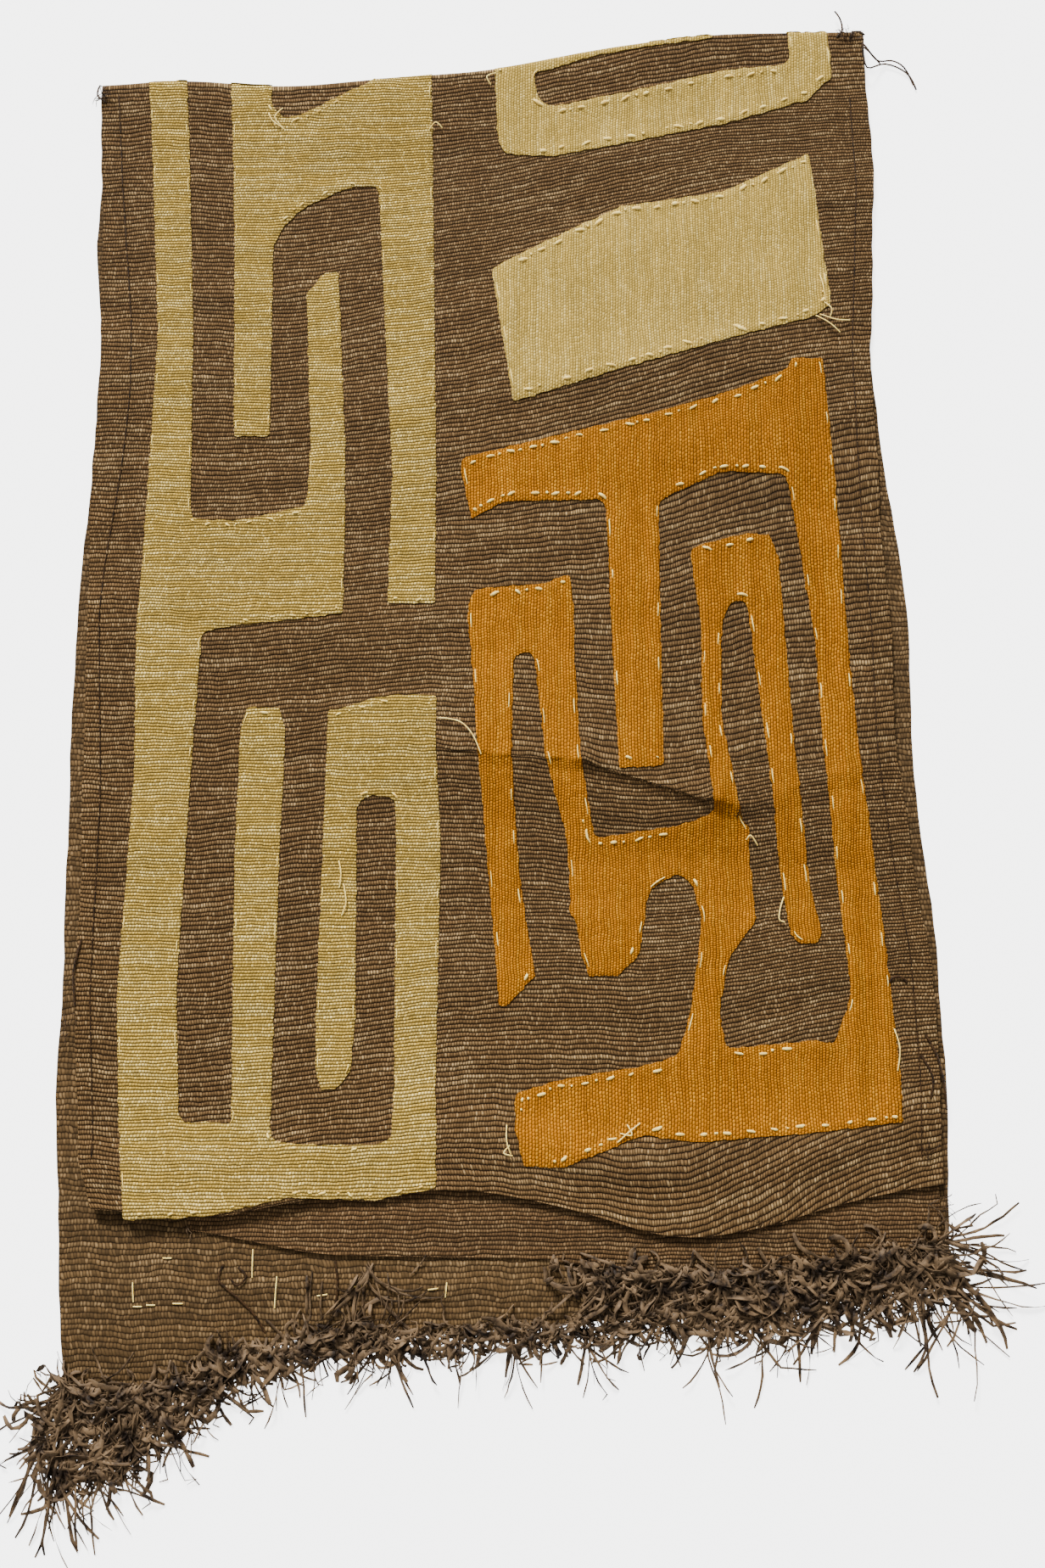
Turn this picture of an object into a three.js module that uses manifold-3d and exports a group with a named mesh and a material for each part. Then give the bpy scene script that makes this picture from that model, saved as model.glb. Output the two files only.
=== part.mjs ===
// A raffia cloth with sewn-on raffia patches and fringed ends, folded once and lying flat.
// Millimetres, +Z up, +Y toward the folded edge, +X to the right of someone who faces that edge.
// The origin is the middle of the under layer's flat underside.

import * as THREE from 'three';
import { mergeVertices } from 'three/addons/utils/BufferGeometryUtils.js';
import Module from 'manifold-3d';

const wasm = await Module();
wasm.setup();

// Sheets
const CLOTH_THICK = 1.6;
const PATCH_THICK = 1.0;
const STRAND_THICK = 1.2;
const CLEAR = 0.3;

// Heights of the upper layer's underside
const UPPER_REST = 2.5;
const UPPER_LOWEST = CLOTH_THICK + CLEAR;
const TURN_HEIGHT = 8;
const TURN_REACH = 38;
const CREASE_FALL = 2;
const CREASE_END_FALL = 1.5;
const HEM_RISE = 1.7;
const HEM_FROM = 70;
const HEM_FULL = 34;

// Border strip under the upper layer's lower edge
const STRIP_TUCK = 13;
const STRIP_LEFT = -232;
const STRIP_RIGHT = 289;
const STRIP_ROWS = [0, 0.35, 0.7, 1];
const STRIP_WAVE = 0.9;
const STRIP_WAVE_TURNS = 9;

// Fringe
const BACKING_WIDE = 5;
const HEM_GAP = 0.4;
const ROOT_WIDE = 2.6;
const TIP_WIDE = 1.1;
const LOWER_STRANDS = 84;
const UPPER_STRANDS = 58;

// Steps of the faceted sheets
const COLUMNS = 18;
const UNDER_ROWS = 11;
const TURN_STEPS = 6;
const PRISM_HEIGHT = 60;

// Rows of the upper layer from the fold (0) to its lower edge (1): each run ends at a share of
// the length and is cut into some steps, closest together across the big crease.
const run = (to, steps) => ({ to, steps });
const UPPER_RUNS = [run(0.58, 15), run(0.74, 8), run(1, 8)];

// Side edges at a distance along the cloth: the upper layer, then the under layer.
const edge = (y, upperLeft, upperRight, underLeft, underRight) => (
  { y, upperLeft, upperRight, underLeft, underRight });
const EDGES = [
  edge(530, -334, 270, -334, 270),
  edge(400, -328, 274, -329, 272),
  edge(340, -325, 271, -330, 269),
  edge(260, -322, 266, -323, 265),
  edge(190, -323, 267, -324, 271),
  edge(120, -324, 268, -327, 279),
  edge(40, -321, 272, -331, 287),
  edge(-50, -320, 272, -330, 284),
  edge(-130, -317, 280, -329, 290),
  edge(-200, -317, 290, -327, 296),
  edge(-280, -314, 293, -328, 298),
  edge(-340, -308, 291, -325, 297),
  edge(-380, -295, 291, -322, 296),
  edge(-430, -290, 291, -318, 293),
  edge(-500, -290, 291, -312, 290),
];

// End edges across the cloth, from its left side (0) to its right side (1).
const across = (share, y) => ({ share, y });
const FOLD_EDGE = [
  across(0, 482), across(0.1, 488), across(0.24, 481), across(0.37, 489), across(0.51, 496),
  across(0.65, 514), across(0.8, 528), across(1, 530),
];
const UPPER_HEM = [
  across(0, -374), across(0.13, -382), across(0.27, -366), across(0.45, -361), across(0.56, -374),
  across(0.68, -396), across(0.78, -389), across(0.88, -371), across(1, -357),
];
const UNDER_HEM = [
  across(0, -493), across(0.11, -499), across(0.167, -478), across(0.25, -461), across(0.4, -460),
  across(0.55, -453), across(0.7, -444), across(0.85, -437), across(1, -412),
];
const STRIP_HEM = [
  across(0, -388), across(0.18, -406), across(0.48, -408), across(0.55, -416), across(0.74, -422),
  across(0.86, -409), across(1, -399),
];

// Creases of the upper layer. Each runs from x0, y0 to x1, y1, is bent sideways by its bow,
// rises (or sinks) by its rise, and fades out toward the fold and toward the hem.
const crease = (x0, y0, x1, y1, bow, rise, towardFold, towardHem) => (
  { x0, y0, x1, y1, bow, rise, towardFold, towardHem });
const CREASES = [
  crease(-80, -47, 210, -96, -4, 6.0, 75, 62),
  crease(20, -61, 170, -97, -2, 1.8, 18, 9),
  crease(-25, -150, 245, -148, 0, -0.9, 14, 14),
  crease(-285, -376, -160, -370, 0, 3.6, 48, 30),
  crease(-60, -355, 110, -385, 5, 1.8, 70, 40),
  crease(140, -330, 290, -300, -6, 1.4, 30, 30),
  crease(150, 118, 275, 96, 4, 1.6, 34, 26),
  crease(-40, 300, 270, 400, 10, 1.3, 60, 40),
  crease(-330, 20, -120, 40, 6, 0.9, 70, 70),
  crease(-310, -200, -60, -215, 5, 0.8, 60, 60),
  crease(-310, 250, -90, 230, -6, 0.9, 50, 50),
];

// Patches, as bars: an upright has its left and right edge at a distance along the cloth,
// and a beam its lower and upper edge at a place across it.
const upright = (y, left, right) => ({ y, left, right });
const beam = (x, low, high) => ({ x, low, high });
const CREAM_LEFT = {
  long_upright: [
    upright(502, -295, -265), upright(271, -279, -252), upright(134, -282, -249), upright(29, -285, -237),
    upright(-66, -282, -241), upright(-227, -287, -245), upright(-315, -282, -240),
    upright(-381, -274, -237),
  ],
  shelf: [beam(-263, 32, 125), beam(-213, 42, 123), beam(-133, 51, 141)],
  prong_up: [
    upright(324, -152, -142), upright(306, -166, -141), upright(184, -160, -134),
    upright(101, -163, -133),
  ],
  foot: [
    beam(-275, -382, -318), beam(-214, -379, -316), beam(-163, -367, -331), beam(-103, -369, -332),
    beam(-60, -361, -318),
  ],
  prong: [
    upright(-20, -202, -178), upright(-37, -206, -173), upright(-123, -207, -175),
    upright(-327, -203, -176),
  ],
  bend_top: [beam(-142, -99, -24), beam(-107, -84, -13), beam(-63, -92, -11)],
  bend_left: [
    upright(-22, -142, -121), upright(-245, -146, -118), upright(-282, -145, -121),
    upright(-294, -141, -131),
  ],
  bend_right: [
    upright(-11, -94, -65), upright(-123, -91, -59), upright(-291, -90, -61),
    upright(-361, -92, -60),
  ],
};
const CREAM_MIDDLE = {
  left_prong: [upright(502, -230, -198), upright(349, -223, -193), upright(190, -218, -191)],
  block: [
    beam(-209, 320, 435), beam(-198, 334, 464), beam(-186, 362, 452), beam(-169, 379, 458),
    beam(-138, 394, 475), beam(-118, 398, 485), beam(-72, 377, 502),
  ],
  right_prong: [
    upright(502, -118, -72), upright(310, -107, -68), upright(163, -98, -65),
    upright(59, -100, -65),
  ],
};
const CREAM_RING = {
  left: [upright(502, -22, 7), upright(447, -20, 16), upright(424, -13, 19)],
  beam: [
    beam(-19, 435, 480), beam(-13, 424, 480), beam(23, 422, 464), beam(89, 435, 478), beam(159, 450, 495),
    beam(211, 466, 500), beam(243, 487, 510),
  ],
  right: [upright(540, 209, 240), upright(492, 212, 244), upright(469, 207, 224)],
  top: [
    beam(-11, 493, 517), beam(16, 493, 517), beam(57, 507, 525), beam(104, 516, 532),
    beam(150, 522, 540),
  ],
};
const CREAM_BLOCK = {
  whole: [
    beam(-23, 320, 327), beam(-7, 218, 336), beam(76, 245, 379), beam(156, 269, 391), beam(224, 288, 424),
    beam(237, 298, 302),
  ],
};
const ORANGE_RIGHT = {
  top_beam: [
    beam(-46, 161, 171), beam(-38, 125, 175), beam(-13, 139, 181), beam(105, 141, 211),
    beam(151, 163, 224),
    beam(200, 160, 243), beam(227, 134, 254),
  ],
  leg: [upright(161, 59, 105), upright(127, 63, 102), upright(3, 67, 102), upright(-63, 70, 102)],
  long_upright: [
    upright(253, 204, 229), upright(160, 199, 235), upright(31, 216, 240), upright(-48, 218, 244),
    upright(-174, 228, 257), upright(-229, 233, 261), upright(-258, 221, 263), upright(-315, 219, 265),
  ],
  foot: [
    beam(-5, -321, -296), beam(1, -346, -295), beam(28, -347, -287), beam(84, -325, -278),
    beam(120, -330, -268), beam(207, -323, -260), beam(265, -316, -274),
  ],
  stem: [
    upright(-142, 120, 165), upright(-175, 128, 163), upright(-200, 125, 147), upright(-240, 119, 139),
    upright(-265, 111, 143), upright(-286, 104, 149),
  ],
  crossbar: [
    beam(34, -172, -123), beam(51, -169, -117), beam(89, -155, -111), beam(112, -141, -108),
    beam(137, -161, -99), beam(163, -182, -108),
  ],
  left_top: [beam(-40, 38, 58), beam(-35, 16, 70), beam(15, 23, 74), beam(35, 9, 82), beam(38, 9, 55)],
  left_outer: [
    upright(55, -40, -6), upright(-58, -32, -8), upright(-147, -24, -2), upright(-215, -18, 9),
    upright(-236, -17, -11),
  ],
  left_inner: [upright(42, 6, 37), upright(-58, 17, 42), upright(-117, 32, 52), upright(-148, 34, 57)],
  left_foot: [upright(-117, 32, 93), upright(-162, 36, 89), upright(-200, 42, 83), upright(-215, 47, 68)],
  right_top: [
    beam(126, 88, 101), beam(131, 51, 104), beam(167, 64, 113), beam(184, 48, 112),
    beam(191, 38, 94),
  ],
  right_inner: [
    upright(74, 130, 158), upright(42, 132, 147), upright(-29, 131, 145), upright(-82, 137, 154),
    upright(-128, 141, 162), upright(-174, 142, 167), upright(-200, 144, 149),
  ],
  right_outer: [
    upright(74, 165, 192), upright(-58, 178, 198), upright(-151, 186, 206), upright(-185, 191, 214),
    upright(-192, 197, 209),
  ],
};

// Strands across a fringe: length, lean from straight down toward +X, and the turn on the way.
const lock = (share, long, lean, turn) => ({ share, long, lean, turn });
const UNDER_FRINGE = [
  lock(0, 42, -68, -8), lock(0.025, 92, -32, 6), lock(0.05, 118, -13, 8), lock(0.085, 92, -6, 6),
  lock(0.13, 48, 2, 8), lock(0.25, 34, 0, 4), lock(0.5, 32, 0, -4), lock(0.72, 50, 2, 6),
  lock(0.88, 42, 4, -4), lock(0.94, 82, 14, 4), lock(0.97, 98, 34, 6), lock(1, 86, 66, 10),
];
const UPPER_FRINGE = [
  lock(0, 20, -8, -4), lock(0.22, 42, -6, 6), lock(0.3, 44, 6, 4), lock(0.5, 52, 0, 4),
  lock(0.7, 60, 3, -6), lock(0.9, 56, 8, 4), lock(0.96, 60, 34, 6), lock(1, 58, 82, 12),
];
const LEAN_JITTER = 1.6;
const LONG_JITTER = 0.16;
const JITTER_STEPS = { lean: 2.4, leanToo: 1.1, long: 4.3 };

const material = (colour, roughness) => (
  new THREE.MeshStandardMaterial({ color: colour, roughness, metalness: 0 }));
const BROWN = material(0x69503a, 0.9);
const BROWN_FRINGE = material(0x5a4636, 0.85);
const CREAM = material(0xcdb478, 0.85);
const PALE_CREAM = material(0xc4ad7e, 0.85);
const ORANGE = material(0xb9781e, 0.8);

// A column of a table read at a place between its rows.
function readTable(rows, key, place, column) {
  const rising = rows[0][key] < rows[rows.length - 1][key];
  const ordered = rising ? rows : [...rows].reverse();
  const last = ordered[ordered.length - 1];
  const next = ordered.findIndex((row) => row[key] >= place);
  if (next === 0) return ordered[0][column];
  if (next < 0) return last[column];
  const low = ordered[next - 1];
  const high = ordered[next];
  const part = (place - low[key]) / (high[key] - low[key]);
  return THREE.MathUtils.lerp(low[column], high[column], part);
}

const edgeAt = (y, column) => readTable(EDGES, 'y', y, column);
const endAt = (table, share) => readTable(table, 'share', share, 'y');
const sideToSide = (left, right, share) => THREE.MathUtils.lerp(left, right, share);
const radians = THREE.MathUtils.degToRad;

// The height that one crease adds at a point.
function creaseHeight({ x0, y0, x1, y1, bow, rise, towardFold, towardHem }, x, y) {
  const long = Math.hypot(x1 - x0, y1 - y0);
  const alongX = (x1 - x0) / long;
  const alongY = (y1 - y0) / long;
  const walked = (x - x0) * alongX + (y - y0) * alongY;
  const share = THREE.MathUtils.clamp(walked / long, 0, 1);
  const beside = (y - y0) * alongX - (x - x0) * alongY - bow * 4 * share * (1 - share);
  const past = (walked - share * long) / towardHem;
  const wide = beside > 0 ? towardFold : towardHem;
  return rise * Math.exp(-CREASE_FALL * (beside / wide) ** 2 - CREASE_END_FALL * past ** 2);
}

// The underside of the upper layer: raised at the fold and at its lower edge, with its creases.
function upperUnderside(x, y, fromFold, fromHem) {
  const turn = TURN_HEIGHT - CLOTH_THICK - UPPER_REST;
  const nearFold = Math.exp(-((fromFold / TURN_REACH) ** 2));
  const nearHem = 1 - THREE.MathUtils.smoothstep(fromHem, HEM_FULL, HEM_FROM);
  const creased = CREASES.reduce((sum, row) => sum + creaseHeight(row, x, y), 0);
  const free = UPPER_REST + HEM_RISE * nearHem + creased * (1 - nearFold);
  return Math.max(UPPER_LOWEST, free + turn * nearFold);
}

// A closed solid between two grids of points, with the first one's face outward.
function solidBetween(outer, inner) {
  const rows = outer.length;
  const columns = outer[0].length;
  const points = [...outer.flat(), ...inner.flat()];
  const innerStart = rows * columns;
  const faces = [];
  const quad = (a, b, c, d) => faces.push(a, b, c, a, c, d);
  const at = (row, column) => row * columns + column;
  for (let row = 0; row < rows - 1; row += 1) {
    for (let column = 0; column < columns - 1; column += 1) {
      const a = at(row, column);
      const b = at(row, column + 1);
      const c = at(row + 1, column + 1);
      const d = at(row + 1, column);
      quad(a, b, c, d);
      faces.push(innerStart + a, innerStart + c, innerStart + b);
      faces.push(innerStart + a, innerStart + d, innerStart + c);
    }
    const left = at(row, 0);
    const leftNext = at(row + 1, 0);
    const right = at(row, columns - 1);
    const rightNext = at(row + 1, columns - 1);
    quad(left, leftNext, innerStart + leftNext, innerStart + left);
    quad(right, innerStart + right, innerStart + rightNext, rightNext);
  }
  for (let column = 0; column < columns - 1; column += 1) {
    const near = at(0, column);
    const far = at(rows - 1, column);
    quad(near, innerStart + near, innerStart + near + 1, near + 1);
    quad(far, far + 1, innerStart + far + 1, innerStart + far);
  }
  const geometry = new THREE.BufferGeometry();
  geometry.setAttribute('position', new THREE.Float32BufferAttribute(points.flat(), 3));
  geometry.setIndex(faces);
  return geometry;
}

function toManifold(geometry) {
  const bare = geometry.clone();
  bare.deleteAttribute('normal');
  bare.deleteAttribute('uv');
  const merged = mergeVertices(bare, 1e-4);
  return new wasm.Manifold(new wasm.Mesh({
    numProp: 3,
    vertProperties: new Float32Array(merged.attributes.position.array),
    triVerts: new Uint32Array(merged.index.array),
  }));
}

function toGeometry(solid) {
  const { vertProperties, triVerts } = solid.getMesh();
  const geometry = new THREE.BufferGeometry();
  geometry.setAttribute('position', new THREE.BufferAttribute(vertProperties, 3));
  geometry.setIndex([...triVerts]);
  return geometry;
}

// Shares of the way at which the upper layer has a row.
function upperShares() {
  const shares = [0];
  UPPER_RUNS.forEach(({ to, steps }) => {
    const from = shares[shares.length - 1];
    for (let step = 1; step <= steps; step += 1) {
      shares.push(from + ((to - from) * step) / steps);
    }
  });
  return shares;
}

const turnRadius = TURN_HEIGHT / 2;
const columnShares = Array.from({ length: COLUMNS + 1 }, (_, column) => column / COLUMNS);

// Points of the upper layer's underside, moved up by a height.
function upperGrid(lift) {
  return upperShares().map((share) => columnShares.map((side) => {
    const start = endAt(FOLD_EDGE, side) - turnRadius;
    const end = endAt(UPPER_HEM, side);
    const y = sideToSide(start, end, share);
    const x = sideToSide(edgeAt(y, 'upperLeft'), edgeAt(y, 'upperRight'), side);
    return [x, y, upperUnderside(x, y, start - y, y - end) + lift];
  }));
}

function underGrid(height) {
  return Array.from({ length: UNDER_ROWS + 1 }, (_, row) => columnShares.map((side) => {
    const start = endAt(UNDER_HEM, side);
    const y = sideToSide(start, endAt(FOLD_EDGE, side) - turnRadius, row / UNDER_ROWS);
    const x = sideToSide(edgeAt(y, 'underLeft'), edgeAt(y, 'underRight'), side);
    return [x, y, height];
  }));
}

// The rows that turn from the under layer to the upper one, at a radius round the turn's middle.
function turnGrid(radius) {
  const rows = [];
  for (let step = 1; step < TURN_STEPS; step += 1) {
    const angle = Math.PI * (step / TURN_STEPS - 0.5);
    rows.push(columnShares.map((side) => {
      const y = endAt(FOLD_EDGE, side) - turnRadius;
      const x = sideToSide(edgeAt(y, 'upperLeft'), edgeAt(y, 'upperRight'), side);
      return [x, y + radius * Math.cos(angle), turnRadius + radius * Math.sin(angle)];
    }));
  }
  return rows;
}

function clothGeometry() {
  const outer = [...underGrid(0), ...turnGrid(turnRadius), ...upperGrid(CLOTH_THICK)];
  const inner = [...underGrid(CLOTH_THICK), ...turnGrid(turnRadius - CLOTH_THICK), ...upperGrid(0)];
  return solidBetween(outer.reverse(), inner.reverse());
}

// A thin layer that follows the upper layer's top, out of which the patches are cut.
function patchLayer() {
  const low = CLOTH_THICK + CLEAR;
  return toManifold(solidBetween(upperGrid(low + PATCH_THICK).reverse(), upperGrid(low).reverse()));
}

// The outline of a bar between its two edges.
function barShape(rows) {
  const low = rows.map((row) => new THREE.Vector2(row.x ?? row.left, row.low ?? row.y));
  const high = rows.map((row) => new THREE.Vector2(row.x ?? row.right, row.high ?? row.y));
  return new THREE.Shape([...low, ...high.reverse()]);
}

function barPrism(rows) {
  return toManifold(new THREE.ExtrudeGeometry(barShape(rows), {
    depth: PRISM_HEIGHT,
    bevelEnabled: false,
  }));
}

function patchGeometry(bars, layer) {
  const outline = Object.values(bars).map(barPrism).reduce((sum, prism) => sum.add(prism));
  return toGeometry(layer.intersect(outline));
}

// The place on the upper layer's lower edge that is above a place across the cloth.
function shareOfUpperHem(x) {
  const y = UPPER_HEM[0].y;
  const left = edgeAt(y, 'upperLeft');
  return (x - left) / (edgeAt(y, 'upperRight') - left);
}

// The border strip, tucked under the upper layer's lower edge and waved a little beyond it.
function stripGeometry() {
  const grid = (lift) => STRIP_ROWS.map((share) => columnShares.map((side) => {
    const x = sideToSide(STRIP_LEFT, STRIP_RIGHT, side);
    const start = endAt(UPPER_HEM, shareOfUpperHem(x)) + STRIP_TUCK;
    const y = sideToSide(start, endAt(STRIP_HEM, side), share);
    const wave = STRIP_WAVE * share * share * (1 + Math.sin(STRIP_WAVE_TURNS * side));
    return [x, y, UPPER_LOWEST + wave + lift];
  }));
  return solidBetween(grid(0), grid(CLOTH_THICK));
}

// The outline of one strand, from its root's right side round its tip to its root's left side.
function strandOutline([rootX, rootY], { long, lean, turn }) {
  const beside = ([x, y], angle, wide) => (
    new THREE.Vector2(x + Math.cos(angle) * wide, y + Math.sin(angle) * wide));
  const onward = ([x, y], angle) => [x + Math.sin(angle) * long / 2, y - Math.cos(angle) * long / 2];
  const middle = onward([rootX, rootY], lean);
  const tip = onward(middle, lean + turn);
  const middleHalf = (ROOT_WIDE + TIP_WIDE) / 4;
  const tipHalf = TIP_WIDE / 2;
  return [
    new THREE.Vector2(rootX + ROOT_WIDE / 2, rootY),
    beside(middle, lean, middleHalf),
    beside(tip, lean + turn, tipHalf),
    beside(tip, lean + turn, -tipHalf),
    beside(middle, lean, -middleHalf),
    new THREE.Vector2(rootX - ROOT_WIDE / 2, rootY),
  ];
}

// How a strand lies: its row of the table, a little uneven from one strand to the next.
function strandLie(locks, share, strand) {
  const read = (column) => readTable(locks, 'share', share, column);
  const sway = Math.sin(JITTER_STEPS.lean * strand) + Math.sin(JITTER_STEPS.leanToo * strand);
  return {
    long: read('long') * (1 + LONG_JITTER * Math.sin(JITTER_STEPS.long * strand)),
    lean: radians(read('lean') + LEAN_JITTER * sway),
    turn: radians(read('turn')),
  };
}

// A fringe in one piece: a narrow backing beside a hem, and strands that part from it.
function fringeGeometry({ hem, locks, strands, base }) {
  const outline = columnShares.map(hem).map(([x, y]) => new THREE.Vector2(x, y - HEM_GAP));
  for (let strand = strands - 1; strand >= 0; strand -= 1) {
    const share = (strand + 0.5) / strands;
    const [x, y] = hem(share);
    const root = [x, y - HEM_GAP - BACKING_WIDE];
    outline.push(...strandOutline(root, strandLie(locks, share, strand)));
  }
  const comb = new THREE.ExtrudeGeometry(new THREE.Shape(outline), {
    depth: STRAND_THICK,
    bevelEnabled: false,
  });
  return comb.translate(0, 0, base);
}

function underHem(share) {
  const y = endAt(UNDER_HEM, share);
  return [sideToSide(edgeAt(y, 'underLeft'), edgeAt(y, 'underRight'), share), y];
}

function stripHem(share) {
  return [sideToSide(STRIP_LEFT, STRIP_RIGHT, share), endAt(STRIP_HEM, share)];
}

function addPiece(name, geometry, look) {
  const mesh = new THREE.Mesh(geometry, look);
  mesh.name = name;
  group.add(mesh);
}

const group = new THREE.Group();
const layer = patchLayer();
addPiece('cloth', clothGeometry(), BROWN);
addPiece('border_strip', stripGeometry(), BROWN);
addPiece('cream_left_patch', patchGeometry(CREAM_LEFT, layer), CREAM);
addPiece('cream_middle_patch', patchGeometry(CREAM_MIDDLE, layer), CREAM);
addPiece('cream_ring_patch', patchGeometry(CREAM_RING, layer), PALE_CREAM);
addPiece('cream_block_patch', patchGeometry(CREAM_BLOCK, layer), PALE_CREAM);
addPiece('orange_patch', patchGeometry(ORANGE_RIGHT, layer), ORANGE);
addPiece('under_fringe', fringeGeometry({
  hem: underHem, locks: UNDER_FRINGE, strands: LOWER_STRANDS, base: 0,
}), BROWN_FRINGE);
addPiece('upper_fringe', fringeGeometry({
  hem: stripHem, locks: UPPER_FRINGE, strands: UPPER_STRANDS, base: UPPER_LOWEST,
}), BROWN_FRINGE);

export default group;
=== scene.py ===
"""A raffia cloth with sewn-on raffia patches and fringed ends, folded once and lying flat.

Lengths in the tables are millimetres, as in the part's source, and become metres in the meshes.
X runs to the right, Y toward the folded edge and Z up from the underside of the under layer.
"""

import math
import random
from collections import namedtuple

import bpy
import bmesh
import numpy as np
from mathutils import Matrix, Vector
from mathutils.kdtree import KDTree


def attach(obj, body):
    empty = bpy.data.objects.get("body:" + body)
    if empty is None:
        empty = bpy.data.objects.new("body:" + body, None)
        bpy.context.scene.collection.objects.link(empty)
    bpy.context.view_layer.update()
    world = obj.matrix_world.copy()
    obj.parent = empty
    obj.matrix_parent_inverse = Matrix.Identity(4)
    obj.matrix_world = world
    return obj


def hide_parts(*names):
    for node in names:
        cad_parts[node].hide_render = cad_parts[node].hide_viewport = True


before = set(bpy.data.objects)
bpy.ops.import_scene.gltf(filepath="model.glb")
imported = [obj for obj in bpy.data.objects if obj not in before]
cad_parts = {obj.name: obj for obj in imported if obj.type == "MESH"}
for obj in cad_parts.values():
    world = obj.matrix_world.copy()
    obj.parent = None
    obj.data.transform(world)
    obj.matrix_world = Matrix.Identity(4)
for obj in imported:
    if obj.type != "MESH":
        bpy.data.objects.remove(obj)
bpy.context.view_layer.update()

bl_info = {
    "name": "Raffia Cloth",
    "version": (1, 0, 0),
    "blender": (4, 5, 0),
    "location": "View3D > Sidebar > Raffia Cloth",
    "description": "Builds a folded raffia cloth with sewn-on patches and fringed ends",
    "category": "Add Mesh",
}

MM = 0.001

# Sheets: CLOTH_THICK is the solid's, and the woven sheets are thinner. Heights are of the upper
# layer's underside, and reaches are along the cloth.
CLOTH_THICK = 1.6
SHEET_TOP = 1.1
CLEAR = 0.3
UPPER_REST = 2.5
UPPER_LOWEST = CLOTH_THICK + CLEAR
TURN_HEIGHT = 8
TURN_RADIUS = TURN_HEIGHT / 2
TURN_REACH = 38
CREASE_FALL = 2
CREASE_END_FALL = 1.5
SHARP_ROUND = 1.5
HEM_RISE = 1.3
HEM_FROM = 70
HEM_FULL = 34
STRIP_TUCK = 13
STRIP_LEFT = -232
STRIP_RIGHT = 289
STRIP_WAVE = 0.5
STRIP_WAVE_TURNS = 9
STRIP_FALL = 1.1
# A side edge's small waves: height, length of a radian, share of the layer's phase
EDGE_WAVES = [(0.3, 4.3, 1), (0.6, 21, 2)]
UNDER_PHASE = 1.7

# The weave's map: width of the cloth and of the strip, and where the upper layer starts and ends
CLOTH_MAP_WIDE = 600
STRIP_MAP_WIDE = 520
UPPER_MAP_START = 2000
UPPER_MAP_LONG = 880

# Cells of the sheets
COLUMNS = 130
UNDER_ROWS = 60
TURN_ROWS = 10
UPPER_ROWS = 236
CLOTH_ROWS = UNDER_ROWS + TURN_ROWS + UPPER_ROWS
# Shares of the upper layer's rows and of its length: rows are closest at the sharp crease
UPPER_STEPS = [(0, 0), (0.5, 0.6), (0.72, 0.7), (1, 1)]
STRIP_COLUMNS = 130
STRIP_CELLS = 14
PATCH_CELL = 2.3

# Stitches on the patches
STITCH_BASE = 1.25
STITCH_SINK = 0.9
STITCH_ARCH = 0.45
STITCH_THICK = 0.42
STITCH_SLANT = 0.3
STITCH_POINTS = 7
STITCH_END = 0.45
DOT_LONG = 2.2
DOT_WIDE = 0.85
# How the stitches vary, as shares, how far the first and last are from a rim's start, and where
# their seeds start
LONG_VARIES = (0.7, 1.2)
INSET_VARIES = (0.75, 1.2)
WIDE_VARIES = (0.8, 1.2)
GAP_VARIES = (0.8, 1.4)
FIRST_STITCH = 10
STITCH_SEEDS = 20
LAST_STITCH = 4
# A rim runs lengthwise where its direction has at least this share along the cloth
LENGTHWISE_FROM = 0.8
# Stitches on the rims that run along and across the cloth: how much longer, further in, wider
# and further apart they are, and the shares that are left out and followed by a dot
Run = namedtuple("Run", "long inset wide gap left_out dotted")
LENGTHWISE = Run(2.2, 0.42, 0.45, 2.4, 0.3, 0)
CROSSWISE = Run(1.1, 1, 1.05, 1, 0.1, 0.4)

# Rims of the patches
SLOPE_STEP = 0.4
SNAP_STEPS = 3
SPLIT_STEPS = 4
ROUND_STEPS = 9
OUTER_ROUND = 0.12
SCALLOP_LONG = 17
SLOW_SCALLOP_LONG = SCALLOP_LONG * 3.3
SCALLOP_DEEP = 0.4
FRAY = 0.22
RIM_WALK_SMOOTH = 5

# How high a patch's top is above the cloth: at its rim, and how much more inside and on its hem
PATCH_RIM_HIGH = 0.75
PATCH_MORE = 0.25
PATCH_RIM_WIDE = 2.5
PATCH_HEM_WIDE = 3.5
PATCH_PAST_FOLD = 2.2

Edge = namedtuple("Edge", "y upper_left upper_right under_left under_right")
EDGES = [
    Edge(-500, -290, 291, -312, 290),
    Edge(-430, -290, 291, -318, 293),
    Edge(-380, -295, 291, -322, 296),
    Edge(-340, -308, 291, -325, 297),
    Edge(-280, -314, 293, -328, 298),
    Edge(-200, -317, 290, -327, 296),
    Edge(-130, -317, 280, -329, 290),
    Edge(-50, -320, 272, -330, 284),
    Edge(40, -321, 272, -331, 287),
    Edge(120, -324, 268, -327, 279),
    Edge(190, -323, 267, -324, 271),
    Edge(260, -322, 266, -323, 265),
    Edge(340, -325, 271, -330, 269),
    Edge(400, -328, 274, -329, 272),
    Edge(530, -334, 270, -334, 270),
]

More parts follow.
